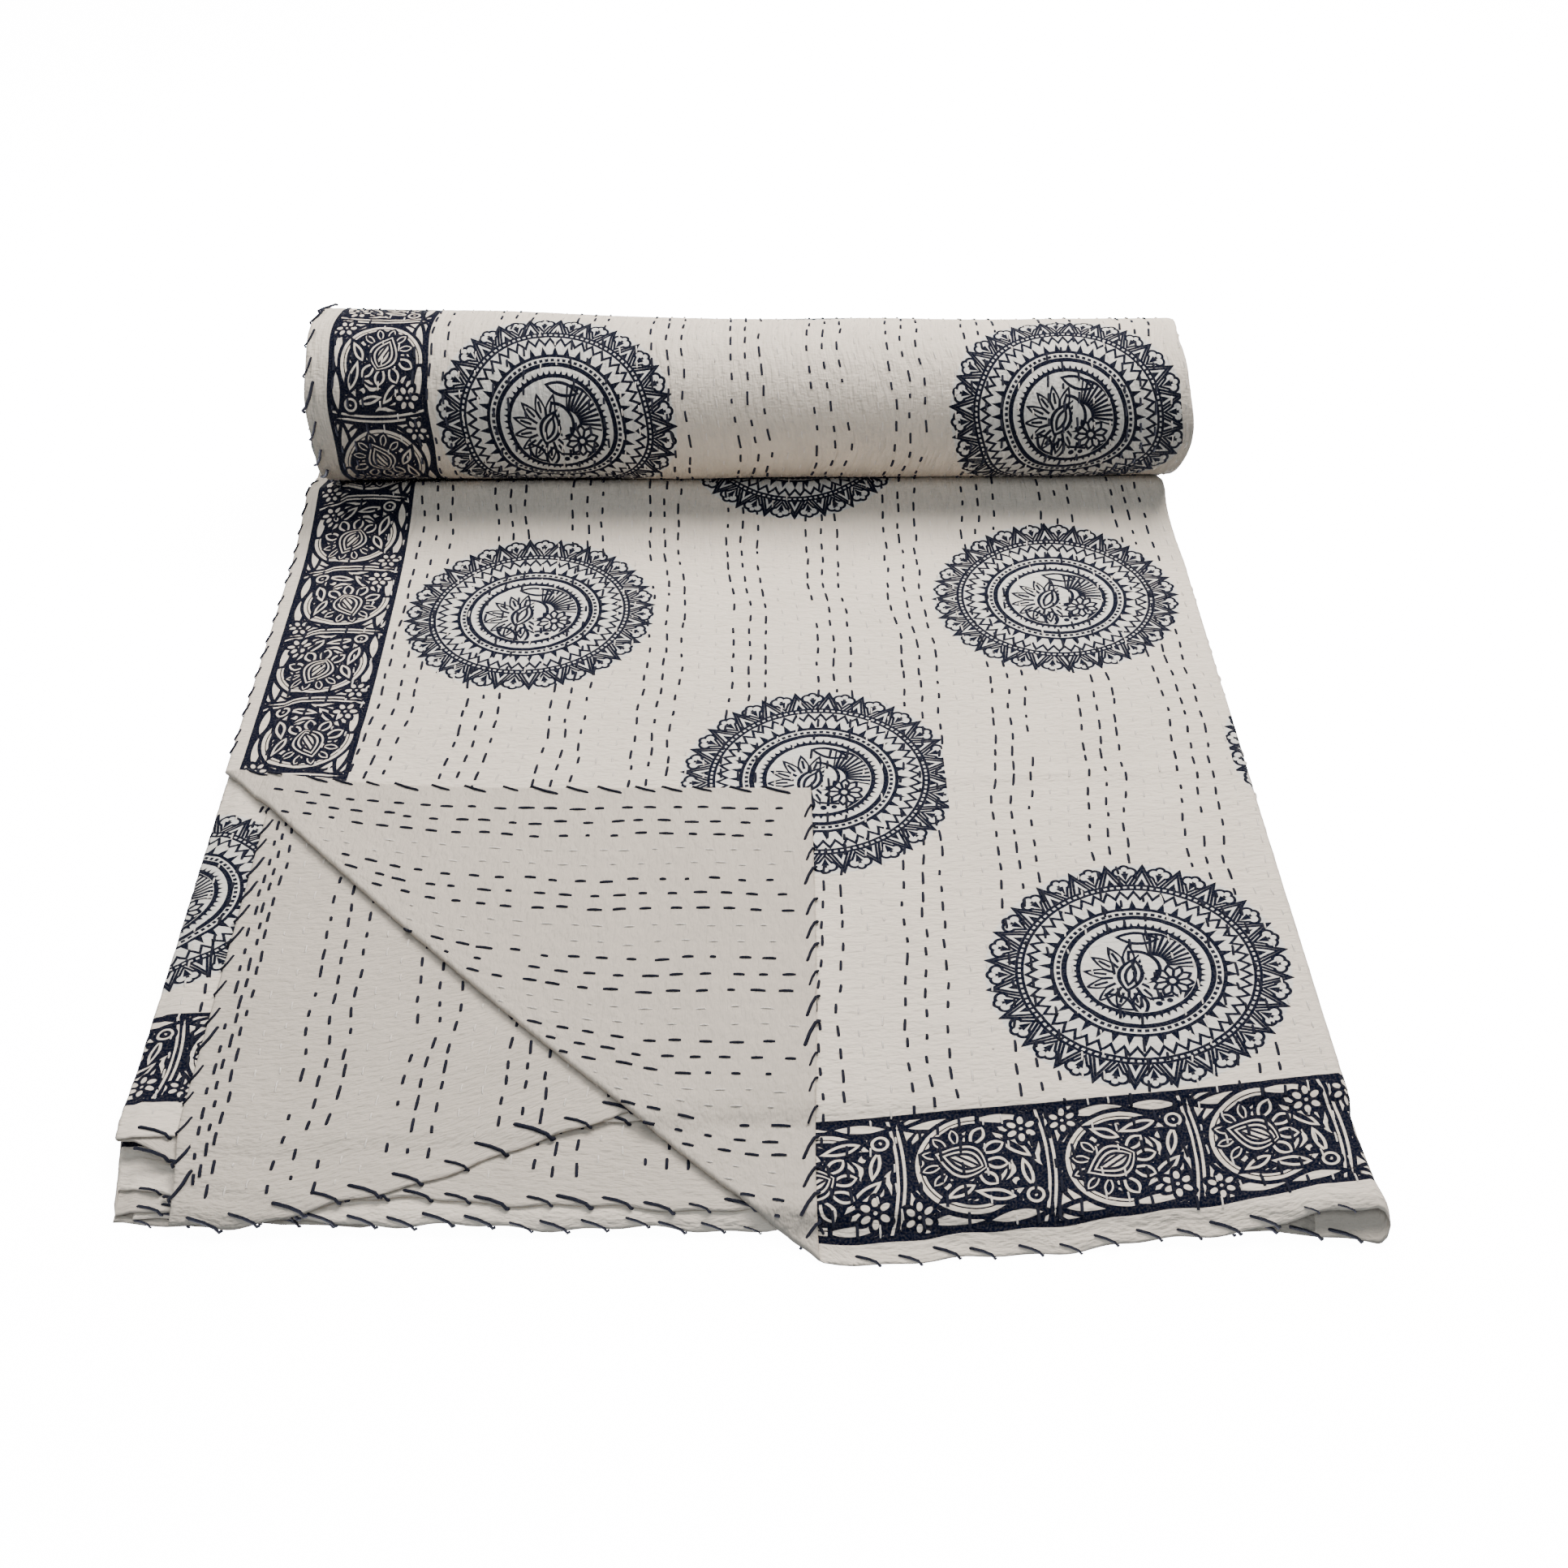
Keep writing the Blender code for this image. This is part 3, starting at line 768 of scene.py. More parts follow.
def thread_tree(name, whipped):
    """Geometry Nodes: a short thread at each point, turned along the seam and scaled to its length."""
    tree = bpy.data.node_groups.new(name, "GeometryNodeTree")
    sockets = tree.interface
    sockets.new_socket("Geometry", in_out="INPUT", socket_type="NodeSocketGeometry")
    for label in ("Thread", "Rise", "Sink", "Slant", "Depth", "Half thickness"):
        sockets.new_socket(label, in_out="INPUT", socket_type="NodeSocketFloat")
    sockets.new_socket("Material", in_out="INPUT", socket_type="NodeSocketMaterial")
    sockets.new_socket("Geometry", in_out="OUTPUT", socket_type="NodeSocketGeometry")
    nodes, link = tree.nodes, tree.links.new

    def node(kind, **settings):
        made = nodes.new(kind)
        for key, value in settings.items():
            setattr(made, key, value)
        return made

    given, result = node("NodeGroupInput"), node("NodeGroupOutput")

    def vector(x, y, z):
        made = node("ShaderNodeCombineXYZ")
        for socket, value in zip(made.inputs, (x, y, z)):
            if isinstance(value, (int, float)):
                socket.default_value = value
            else:
                link(value, socket)
        return made.outputs[0]

    def times(a, b):
        made = node("ShaderNodeMath", operation="MULTIPLY")
        link(a, made.inputs[0])
        made.inputs[1].default_value = b
        return made.outputs[0]

    def attribute(label, kind):
        made = node("GeometryNodeInputNamedAttribute", data_type=kind)
        made.inputs["Name"].default_value = label
        return made.outputs["Attribute"]

    if whipped:
        straight = node("GeometryNodeCurvePrimitiveLine")
        even = node("GeometryNodeResampleCurve")
        link(straight.outputs[0], even.inputs["Curve"])
        even.inputs["Count"].default_value = len(WHIP_ROUTE)
        chosen = node("GeometryNodeIndexSwitch", data_type="VECTOR")
        while len(chosen.index_switch_items) < len(WHIP_ROUTE):
            chosen.index_switch_items.new()
        link(node("GeometryNodeInputIndex").outputs[0], chosen.inputs["Index"])
        slant, depth, half = given.outputs["Slant"], given.outputs["Depth"], given.outputs["Half thickness"]
        for number, (along, inwards, upwards) in enumerate(WHIP_ROUTE):
            turning_point = vector(times(slant, along), times(depth, inwards), times(half, upwards))
            link(turning_point, chosen.inputs[number + 1])
        line = node("GeometryNodeSetPosition")
        link(even.outputs[0], line.inputs["Geometry"])
        link(chosen.outputs[0], line.inputs["Position"])
    else:
        line = node("GeometryNodeCurveQuadraticBezier")
        line.inputs["Resolution"].default_value = 5
        low = times(given.outputs["Sink"], -1.0)
        link(vector(-0.5, 0.0, low), line.inputs["Start"])
        link(vector(0.0, 0.0, given.outputs["Rise"]), line.inputs["Middle"])
        link(vector(0.5, 0.0, low), line.inputs["End"])
    round_thread = node("GeometryNodeCurvePrimitiveCircle")
    round_thread.inputs["Resolution"].default_value = 5
    link(times(given.outputs["Thread"], 0.5), round_thread.inputs["Radius"])
    tube = node("GeometryNodeCurveToMesh")
    link(line.outputs[0], tube.inputs["Curve"])
    link(round_thread.outputs["Curve"], tube.inputs["Profile Curve"])
    tube.inputs["Fill Caps"].default_value = True
    turned = node("FunctionNodeAxesToRotation", primary_axis="Z", secondary_axis="X")
    link(attribute("up", "FLOAT_VECTOR"), turned.inputs["Primary Axis"])
    link(attribute("along", "FLOAT_VECTOR"), turned.inputs["Secondary Axis"])
    reach = attribute("reach", "FLOAT")
    placed = node("GeometryNodeInstanceOnPoints")
    link(given.outputs["Geometry"], placed.inputs["Points"])
    link(tube.outputs["Mesh"], placed.inputs["Instance"])
    link(turned.outputs["Rotation"], placed.inputs["Rotation"])
    link(vector(reach, reach if whipped else 1.0, 1.0), placed.inputs["Scale"])
    real = node("GeometryNodeRealizeInstances")
    link(placed.outputs["Instances"], real.inputs["Geometry"])
    smooth_shade = node("GeometryNodeSetShadeSmooth")
    link(real.outputs["Geometry"], smooth_shade.inputs["Geometry"])
    finish = node("GeometryNodeSetMaterial")
    link(smooth_shade.outputs["Geometry"], finish.inputs["Geometry"])
    link(given.outputs["Material"], finish.inputs["Material"])
    link(finish.outputs["Geometry"], result.inputs["Geometry"])
    return tree


def sewn(name, tree, threads, material, **sizes):
    """Runs the tree on the threads' points and keeps the result as a plain mesh."""
    points = bpy.data.meshes.new(name)
    points.from_pydata(threads.at.tolist(), [], [])
    for label, kind, values in (("along", "FLOAT_VECTOR", threads.along), ("up", "FLOAT_VECTOR", threads.up),
                                ("reach", "FLOAT", threads.reach)):
        field = "vector" if kind == "FLOAT_VECTOR" else "value"
        layer = points.attributes.new(label, kind, "POINT")
        layer.data.foreach_set(field, values.astype(np.float32).ravel())
    obj = bpy.data.objects.new(name, points)
    bpy.context.scene.collection.objects.link(obj)
    modifier = obj.modifiers.new("stitches", "NODES")
    modifier.node_group = tree
    sockets = {item.name: item.identifier for item in tree.interface.items_tree if item.in_out == "INPUT"}
    modifier[sockets["Material"]] = material
    for label, value in sizes.items():
        modifier[sockets[label.replace("_", " ").capitalize()]] = value
    bpy.context.view_layer.update()
    made = bpy.data.meshes.new_from_object(obj.evaluated_get(bpy.context.evaluated_depsgraph_get()))
    obj.modifiers.clear()
    obj.data = made
    made.name = name
    bpy.data.meshes.remove(points)
    return obj


# The thread's route over a cut edge: shares of its slant, its depth and half the cloth's thickness
WHIP_ROUTE = (
    (-1.05, 1.05, 0.2),
    (-0.98, 0.98, 0.9),
    (-0.50, 0.60, 1.15),
    (-0.10, 0.12, 1.1),
    (0.03, -0.26, 0.3),
    (0.10, -0.10, -0.8),
)
WHIP_PITCH = 0.0172
WHIP_SLANT = 0.0122
WHIP_DEPTH = 0.0046
# thicknesses of the two threads, and how a thread lies: its middle over the cloth, the height
# and dip of a running stitch, and a whip stitch's distance from the cloth
THREAD, WHITE_THREAD = 0.0016, 0.0010
THREAD_RISE = 0.00018
STITCH_RISE, STITCH_SINK = 0.0005, 0.0004
WHIP_RISE = 0.00035
# rows start and end this far from an edge or a seam
ROW_MARGIN = 0.012
# the hand's unevenness: how far running stitches stray along and beside their row, how much their
# lengths differ and the share left out; how far whip stitches stray along an edge, in metres or
# round the roll in radians, and how much they differ in size
STITCH_STRAY, STITCH_ASIDE, STITCH_UNEVEN, LEFT_OUT = 0.0011, 0.0005, 0.24, 0.02
WHIP_STRAY, WHIP_STRAY_ROUND, WHIP_UNEVEN = 0.0014, 0.02, 0.16


def colour_rows(first, last, dark):
    """Places of the dark rows, or of the white ones, between two places across the quilt."""
    return [r for r, is_dark in rows_across(first, last) if is_dark == dark]


def running_stitches(dark, length, seed):
    """The running stitches that show on the flat part and on the roll."""
    chance = np.random.default_rng(seed)
    middle_fold = UPPER.turns[1]
    top_rows = colour_rows(0.010, TOP_PIECE_WIDTH - 0.032, dark)
    top_end = SEAM_LENGTH - ROW_MARGIN
    shown = [sewn_row(TOP_SHOWN, r, max(CORNER_LEG - r + 0.006, ROW_MARGIN), top_end, length, chance)
             for r in top_rows]
    shown += [sewn_row(TOP_TURNED, r, 0.010, CORNER_LEG - r - 0.008, length, chance)
              for r in colour_rows(0.010, CORNER_LEG - 0.040, dark)]
    # what each layer below shows: its surface, its rows and how far along they show
    for surface, first, last, end in ((UNDER_PLAIN, UPPER.width - 0.325, UPPER.width - 0.008, 0.345),
                                      (UNDER_PLAIN, middle_fold[0] - 0.330, middle_fold[0] - 0.004, 0.070),
                                      (UNDER_PRINTED, middle_fold[1] + 0.003, middle_fold[1] + 0.050, 0.345)):
        shown += [sewn_row(surface, r, ROW_MARGIN, end, length, chance)
                  for r in colour_rows(first, last, dark)]
    rolled_from = LOWER_SEAM_LENGTH + ROW_MARGIN - COVER_CREEP
    rolled = [sewn_row(COVER, r, rolled_from, rolled_from + 0.335, length, chance) for r in top_rows]
    return joined(shown), joined(rolled)


def edge_stitches():
    """The whip stitches over every cut edge of the flat part and of the roll."""
    second, third, fourth = UPPER.runs[1:]
    flat = [whipped_edge(TOP_SHOWN, 0.0, CORNER_LEG + 0.004, UPPER.runs[0][1], True, 1, 0.8),
            whipped_edge(TOP_TURNED, 0.0, 0.005, CORNER_LEG - 0.008, True, 2, 0.9),
            whipped_edge(TOP_SHOWN, 0.0, CORNER_LEG + 0.004, SEAM_LENGTH, False, 3, 0.62),
            whipped_edge(TOP_TURNED, 0.0, 0.006, CORNER_LEG - 0.006, False, 4, 0.9),
            whipped_edge(UNDER_PLAIN, 0.0, *second[:2], True, 5),
            whipped_edge(UNDER_PRINTED, 0.0, *third[:2], True, 6),
            whipped_edge(UNDER_PLAIN, 0.0, fourth[0], fourth[1] - 0.004, True, 7),
            whipped_edge(UNDER_PLAIN, UPPER.width, 0.006, SEAM_LENGTH, False, 8, 0.9),
            whipped_edge(LOWER_PLAIN, 0.0, *LOWER.runs[0][:2], True, 9, 0.8),
            whipped_edge(LOWER_PRINTED, 0.0, *LOWER.runs[1][:2], True, 12, 0.8),
            whipped_edge(LOWER_PLAIN, 0.0, *LOWER.runs[2][:2], True, 13, 0.8),
            whipped_edge(LOWER_PRINTED, 0.0, LOWER.runs[3][0], LOWER.width - 0.005, True, 14, 0.8),
            whipped_edge(LOWER_PLAIN, 0.0, 0.006, LOWER_SEAM_LENGTH, False, 10, 0.62),
            whipped_edge(LOWER_PRINTED, LOWER.width, 0.006, LOWER_SEAM_LENGTH, False, 11, 0.62)]
    rolled = [whipped_round(COVER.place, -1, 0.0, 0.0, FULL_TURN, 22, 1.05),
              whipped_round(rolled_place(LOWER), -1, 0.0, FULL_TURN, ROLL_END, 23),
              whipped_round(rolled_place(LOWER), -1, LOWER.width, 0.0, ROLL_END, 24),
              whipped_round(rolled_place(UPPER), 1, 0.0, 0.0, ROLL_END, 25),
              whipped_round(rolled_place(UPPER), 1, UPPER.width, 0.0, ROLL_END, 26)]
    return joined(flat), joined(rolled)


def whipped_round(place, side, edge, first, last, seed, size=0.62):
    """Stitches over a cut side edge inside the roll, evenly spaced along the spiral."""
    angles = [first]
    while angles[-1] < last:
        radius = max(ROLL_HEIGHT - TURN_STEP * angles[-1] / FULL_TURN - HALF_STACK, 0.008)
        angles.append(angles[-1] + WHIP_PITCH / radius)
    angles = np.array(angles[1:-1])
    chance = np.random.default_rng(seed)
    angles = angles + chance.normal(0, WHIP_STRAY_ROUND, len(angles))
    fixed = np.full(len(angles), edge)
    inner = fixed + (0.0012 if edge <= 0 else -0.0012)
    at = place(fixed, angles)
    into = unit(place(inner, angles) - at)
    up = side * normals_of(place, inner, angles)
    reach = size * chance.normal(1.0, WHIP_UNEVEN, len(angles)).clip(0.6, 1.4)
    return Threads(at, unit(np.cross(into, up)), up, reach)


# ---------------------------------------------------------------- shader arithmetic
class Field:
    """A value that changes over the cloth, with arithmetic that adds nodes to its tree."""

    def __init__(self, tree, socket):
        self.tree, self.socket = tree, socket

    def __add__(self, other):
        return calc(self.tree, "ADD", self, other)

    def __sub__(self, other):
        return calc(self.tree, "SUBTRACT", self, other)

    def __rsub__(self, other):
        return calc(self.tree, "SUBTRACT", other, self)

    def __mul__(self, other):
        return calc(self.tree, "MULTIPLY", self, other)

    def __abs__(self):
        return calc(self.tree, "ABSOLUTE", self)

    __radd__, __rmul__ = __add__, __mul__


def feed(tree, value, socket):
    """Links a field to the socket, or sets the socket's own value."""
    if isinstance(value, Field):
        tree.links.new(value.socket, socket)
    else:
        socket.default_value = value


def calc(tree, operation, *values, clamp=False):
    """The result of one operation on fields or numbers."""
    node = tree.nodes.new("ShaderNodeMath")
    node.operation, node.use_clamp = operation, clamp
    for value, socket in zip(values, node.inputs):
        feed(tree, value, socket)
    return Field(tree, node.outputs[0])


def least(first, *others):
    for other in others:
        first = calc(first.tree, "MINIMUM", first, other)
    return first


def most(first, *others):
    for other in others:
        first = calc(first.tree, "MAXIMUM", first, other)
    return first


def fraction(value):
    return calc(value.tree, "FRACT", value)


def inside(distance, softness=0.30):
    """1 where a distance in millimetres is below zero, 0 above, with a soft edge."""
    return calc(distance.tree, "MULTIPLY_ADD", distance, -1 / softness, 0.5, clamp=True)


def group(name, inputs, outputs):
    """A new shader node group: its tree, its inputs and its output node."""
    tree = bpy.data.node_groups.new(name, "ShaderNodeTree")
    for label, kind in inputs:
        tree.interface.new_socket(label, in_out="INPUT", socket_type=kind)
    for label, kind in outputs:
        tree.interface.new_socket(label, in_out="OUTPUT", socket_type=kind)
    given, result = tree.nodes.new("NodeGroupInput"), tree.nodes.new("NodeGroupOutput")
    return tree, {label: Field(tree, given.outputs[label]) for label, _ in inputs}, result


def use_group(tree, made, **values):
    """Places a group in the tree, feeds its inputs and gives its outputs by name."""
    node = tree.nodes.new("ShaderNodeGroup")
    node.node_tree = made
    for label, value in values.items():
        feed(tree, value, node.inputs[label.replace("_", " ").capitalize()])
    return {socket.name: Field(tree, socket) for socket in node.outputs}


def split(vector):
    """The vector's first two values."""
    node = vector.tree.nodes.new("ShaderNodeSeparateXYZ")
    feed(vector.tree, vector, node.inputs[0])
    return Field(vector.tree, node.outputs[0]), Field(vector.tree, node.outputs[1])


def paired(x, y):
    """A vector of the two values."""
    tree = x.tree if isinstance(x, Field) else y.tree
    node = tree.nodes.new("ShaderNodeCombineXYZ")
    feed(tree, x, node.inputs[0])
    feed(tree, y, node.inputs[1])
    return Field(tree, node.outputs[0])


def seen_from(vector, x, y, degrees=0.0, length=1.0, width=1.0):
    """The point as seen from a motif placed at x, y, turned, and sized by its half-length and half-width."""
    node = vector.tree.nodes.new("ShaderNodeMapping")
    node.vector_type = "TEXTURE"
    feed(vector.tree, vector, node.inputs["Vector"])
    node.inputs["Location"].default_value = (x, y, 0)
    node.inputs["Rotation"].default_value = (0, 0, math.radians(degrees))
    node.inputs["Scale"].default_value = (length, width, 1)
    return Field(vector.tree, node.outputs[0])


def radius_of(vector):
    """Distance from the origin."""
    node = vector.tree.nodes.new("ShaderNodeVectorMath")
    node.operation = "LENGTH"
    feed(vector.tree, vector, node.inputs[0])
    return Field(vector.tree, node.outputs["Value"])


def turns_of(vector):
    """Angle round the origin, in whole turns from -0.5 to 0.5."""
    x, y = split(vector)
    return calc(vector.tree, "ARCTAN2", y, x) * (1 / FULL_TURN)


def off_middle(turns, radius, count, shift=0.0):
    """Distance round the ring from the middle of the nearest of count equal parts."""
    return abs(fraction(turns * count + shift) - 0.5) * radius * (FULL_TURN / count)


def ring(radius, at, half_width):
    """Signed distance to a plain ring."""
    return abs(radius - at) - half_width


def leaf(vector, x, y, degrees, length, width, skew=0.0):
    """Signed distance to a pointed leaf or petal; skew makes its far end the wider one."""
    along, across = split(seen_from(vector, x, y, degrees, length, width))
    bow = 1.0 - along * along
    if skew:
        bow = bow * most(along * skew + 1.0, 0.1)
    return (abs(across) - bow) * (width * 0.9)


# ---------------------------------------------------------------- block print
PLACE_SOCKET, INK_SOCKET = ("Place", "NodeSocketVector"), ("Ink", "NodeSocketFloat")
# how far the ink spreads past the drawing on the round stamps, and over bare shapes in the border
STAMP_SPREAD = 0.42
INK_CREEP = 0.47
# the border's blocks: their length, and half the width of the band that they print
BLOCK_LENGTH = 66.0
BAND_HALF = 31.8


def mandala_group():
    """One round stamp, in millimetres from its middle."""
    tree, given, result = group("mandala_stamp", [PLACE_SOCKET], [INK_SOCKET])
    place = given["Place"]
    radius, turns = radius_of(place), turns_of(place)
    middle = most(spray(seen_from(place, 1, -1, 0, 1.16, 1.16)), radius - 28.5)
    ink = least(heart_ring(radius, turns), bands(radius, turns), middle)
    feed(tree, inside(ink - STAMP_SPREAD), result.inputs["Ink"])
    return tree


def heart_ring(radius, turns):
    """Scalloped hearts and double triangles by turns round the rim."""
    out = radius - 61.5
    side = off_middle(turns, radius, 24)
    lobe = radius_of(paired(side - 3.1, out - 10.0)) - 3.1
    tip = radius_of(paired(side, out - 12.2)) - 2.5
    body = most(side - (out - 1.5) * 0.62, out - 10.0)
    heart = abs(least(lobe, tip, body)) - 0.48
    seed = most(side - (out - 4.2) * 0.36, out - 8.8)
    side = off_middle(turns, radius, 24, 0.5)
    tall = abs(side - (1.0 - out * (1 / 15.0)) * 6.6) * 0.92 - 0.42
    short = abs(side - (1.0 - (out - 1.0) * (1 / 10.4)) * 4.1) * 0.92 - 0.36
    dot = most(side - (1.0 - out * 0.22) * 1.9, 1.0 - out)
    return most(least(heart, seed, tall, short, dot), 0.0 - out)


def bands(radius, turns):
    """The plain, beaded, toothed and thorned rings between the rim and the middle."""
    beads = most(off_middle(turns, radius, 108) - 0.42, abs(radius - 59.9) - 1.4)
    tooth = radius - (51.4 + abs(fraction(turns * 50) - 0.5) * 10.4)
    thorns = most(off_middle(turns, radius, 38) - (49.4 - radius) * 0.32, 43.6 - radius)
    dashes = most(off_middle(turns, radius, 68) - 0.72, abs(radius - 40.5) - 0.62)
    small_thorns = most(off_middle(turns, radius, 54) - (33.1 - radius) * 0.42, 30.2 - radius)
    return least(ring(radius, 61.4, 0.42), ring(radius, 58.5, 0.42), beads, abs(tooth) * 0.57 - 0.46,
                 ring(radius, 43.6, 0.65), thorns, dashes, ring(radius, 37.6, 1.05),
                 ring(radius, 30.4, 0.85), small_thorns)


# x, y, degrees, half-length, half-width
SPRAY_LEAVES = (
    (3, 20, -14, 9.0, 3.2),
    (-13, -16, 130, 7.5, 3.4),
    (-5, -19, 84, 7.0, 3.2),
    (18, -18, 60, 6.0, 2.6),
)


def spray(place):
    """A lotus, an arching stem, a ribbed fan and a small flower."""
    x, y = split(place)
    lotus = seen_from(place, -6, -2, 8)
    lotus_out, turns = radius_of(lotus), turns_of(lotus)
    notch = abs(fraction(turns * 13) - 0.5) * 2
    petals = least(abs(lotus_out - (19.0 - notch * 8.0)) * 0.62 - 0.42,
                   most(off_middle(turns, lotus_out, 13, 0.5) - 0.36, 7.2 - lotus_out, lotus_out - 12.0),
                   most(off_middle(turns, lotus_out, 13) - 0.30, 10.0 - lotus_out, lotus_out - 15.5))
    bud = leaf(place, -5, -1, 68, 9.5, 5.0)
    vein = most(abs(bud + 2.6) - 0.32, bud)
    blossom = seen_from(place, 12, -8)
    bloom_out, turns = radius_of(blossom), turns_of(blossom)
    bloom = least(abs(bloom_out - (9.0 - abs(fraction(turns * 10) - 0.5) * 5.0)) * 0.8 - 0.42,
                  most(off_middle(turns, bloom_out, 10, 0.5) - 0.34, 3.2 - bloom_out, bloom_out - 7.0),
                  ring(bloom_out, 2.3, 0.5))
    fan = seen_from(place, 5, 2, 38)
    fan_out, turns = radius_of(fan), turns_of(fan)
    ribs = most(least(off_middle(turns, fan_out, 40) - 0.36, abs(fan_out - 20.0) - 0.45,
                      abs(fan_out - 7.5) - 0.4),
                7.2 - fan_out, fan_out - 20.5, abs(turns) * 60 - 8.0)
    stem = most(ring(radius_of(seen_from(place, -2, 2)), 10.5, 0.5), -3.0 - x, 0.0 - y - 7)
    leaves = least(*(abs(leaf(place, *shape)) - 0.4 for shape in SPRAY_LEAVES))
    sprig = least(most(abs(y + 16.5) - 0.42, abs(x - 5) - 5.0), radius_of(seen_from(place, 3, -20)) - 1.2,
                  radius_of(seen_from(place, 8, -19)) - 1.0, most(abs(x - 5) - 0.4, abs(y + 16) - 2.4))
    left = most(petals, x - 1.0, 6.0 - lotus_out)
    return least(left, abs(bud) - 0.45, vein, bloom, most(ribs, 9.5 - bloom_out), stem, leaves, sprig)


ROSE_MIDDLE = (-6, 4)
# x, y, degrees, half-length, half-width, skew
FRAME_LEAVES = (
    (-15, 25.3, 4, 14, 2.9),
    (13, 25.8, -3, 13, 2.7),
    (-9, -25.6, -4, 13, 2.9),
    (17, -25.8, 4, 12, 2.7),
)
SIDE_LEAVES = (
    (17, 11, -42, 12, 3.4, 0.3),
    (23, -5, -78, 9, 3.0),
    (8, -15, -14, 10, 3.4, 0.3),
    (-7, -13, 205, 8, 3.2, -0.3),
)


def border_group():
    """One block of the border band, in millimetres from its middle: a rose inside a curling scroll."""
    tree, given, result = group("border_block", [PLACE_SOCKET], [INK_SOCKET])
    place = given["Place"]
    x, y = split(place)
    light = scrolls(place)
    light = stamped(light, least(ring(radius_of(seen_from(place, -151, 0)), 120.4, 1.1),
                                 ring(radius_of(seen_from(place, -88, 0)), 120.6, 1.1)), 1.7)
    frame_leaves = least(*(leaf(place, *shape) for shape in FRAME_LEAVES))
    light = stamped(light, frame_leaves, 1.8)
    scroll = radius_of(seen_from(place, 0, 2))
    light = stamped(light, most(ring(scroll, 24.0, 2.3), least(x - 2, y + 13)), 1.8)
    light = light * inside(0.35 - most(abs(scroll - 23.6), least(x - 3, y + 14)))
    side_leaves = least(*(leaf(place, *shape) for shape in SIDE_LEAVES))
    light = stamped(light, side_leaves, 1.7) * inside(-1.7 - side_leaves)
    slits = rays(place, (1.75, 2.3, 2.85, 3.4, 3.95), 12.5, 12.5, 5.4, 2.5, 0.4)
    light = stamped(light, slits, 1.5) * inside(-1.15 - slits)
    drops = rays(place, (-0.75, -0.17, 0.42, 1.05), 15, 14, 6.8, 3.7, 0.5)
    light = stamped(light, drops, 1.5) * inside(-1.7 - drops)
    curl = radius_of(seen_from(place, 25.5, -17))
    flowers = least(flower(place, 22, 19, 7.6), flower(place, -25, -22, 7.0), ring(curl, 3.4, 1.1))
    light = stamped(light, flowers, 1.5)
    rose = leaf(place, *ROSE_MIDDLE, 158, 12.5, 9.0, -0.42)
    light = stamped(light, rose, 1.8)
    hatch = most(abs(fraction(y * 0.30 + x * 0.2) - 0.5) * 3.0 - 0.7, rose + 5.6)
    petal_lines = inside(0.85 - abs(rose + 2.3)) * inside(0.8 - abs(rose + 4.9))
    return finish_band(tree, result, light * petal_lines, hatch, y)


def rays(place, angles, reach_x, reach_y, length, width, skew):
    """Signed distance to leaves that stand round the rose's middle."""
    x, y = ROSE_MIDDLE
    return least(*(leaf(place, x + reach_x * math.cos(angle), y + reach_y * math.sin(angle),
                        math.degrees(angle), length, width, skew) for angle in angles))


def flower(place, x, y, size):
    """Signed distance to a small open flower."""
    blossom = seen_from(place, x, y)
    out, round_it = radius_of(blossom), turns_of(blossom)
    sideways = off_middle(round_it, out, 6) * (1 / (size * 0.25))
    petal = paired(sideways, (out - size * 0.64) * (1 / (size * 0.36)))
    return least((radius_of(petal) - 1.0) * (size * 0.25), out - size * 0.17)


def finish_band(tree, result, light, hatch, y):
    """Puts out the block's ink: all of it but the bare shapes, inside the band's two edge lines."""
    light = light * inside(0.0 - hatch)
    feed(tree, 1.0 - light * inside(abs(y) - (BAND_HALF - 2.9)), result.inputs["Ink"])
    return tree


def scrolls(place):
    """Leafy filling that winds round the rose: uneven cells with inked lines between them."""
    tree = place.tree
    sway = tree.nodes.new("ShaderNodeTexNoise")
    sway.noise_dimensions = "2D"
    sway.inputs["Scale"].default_value = 0.055
    sway.inputs["Detail"].default_value = 1.0
    feed(tree, place, sway.inputs["Vector"])
    push = tree.nodes.new("ShaderNodeVectorMath")
    push.operation = "MULTIPLY_ADD"
    tree.links.new(sway.outputs["Color"], push.inputs[0])
    push.inputs[1].default_value = (12, 14, 0)
    about = seen_from(place, *ROSE_MIDDLE)
    feed(tree, paired(turns_of(about) * 96.0, radius_of(about)), push.inputs[2])
    cells = tree.nodes.new("ShaderNodeTexVoronoi")
    cells.voronoi_dimensions, cells.feature = "2D", "DISTANCE_TO_EDGE"
    cells.inputs["Scale"].default_value = 1.0
    feed(tree, seen_from(Field(tree, push.outputs[0]), 0, 0, 6, 8.6, 4.4), cells.inputs["Vector"])
    return inside(1.20 - Field(tree, cells.outputs["Distance"]) * 5.4)


def stamped(light, distance, outline):
    """Lays a shape of bare cloth with an inked outline over what is there."""
    cleared = light * inside(outline - distance)
    return most(cleared, inside(distance + INK_CREEP))


# The stamps stand in columns along the quilt; their rows count from each end. All in millimetres.
COLUMN_FIRST, COLUMN_PITCH, LAST_COLUMN = 157.0, 160.7, 12
# first row and step of the even and of the odd columns
EVEN_ROWS, ODD_ROWS = (143.0, 326.0), (301.0, 332.0)
# how much further from the end each next column's first row stands, and half of it less at each
# row after that
COLUMN_RISE = 3.85
# half of how far the upper half's rows after the first stand back towards the first column, in
# the columns after that one
ROW_LEAN = 2.2
STAMP_RADIUS, STAMP_SCALE = 77.0, 0.985
# hand placing: how far stamps stray in all, and how far they turn, in radians
STAMP_STRAY, STAMP_TURN = 5.0, 0.22
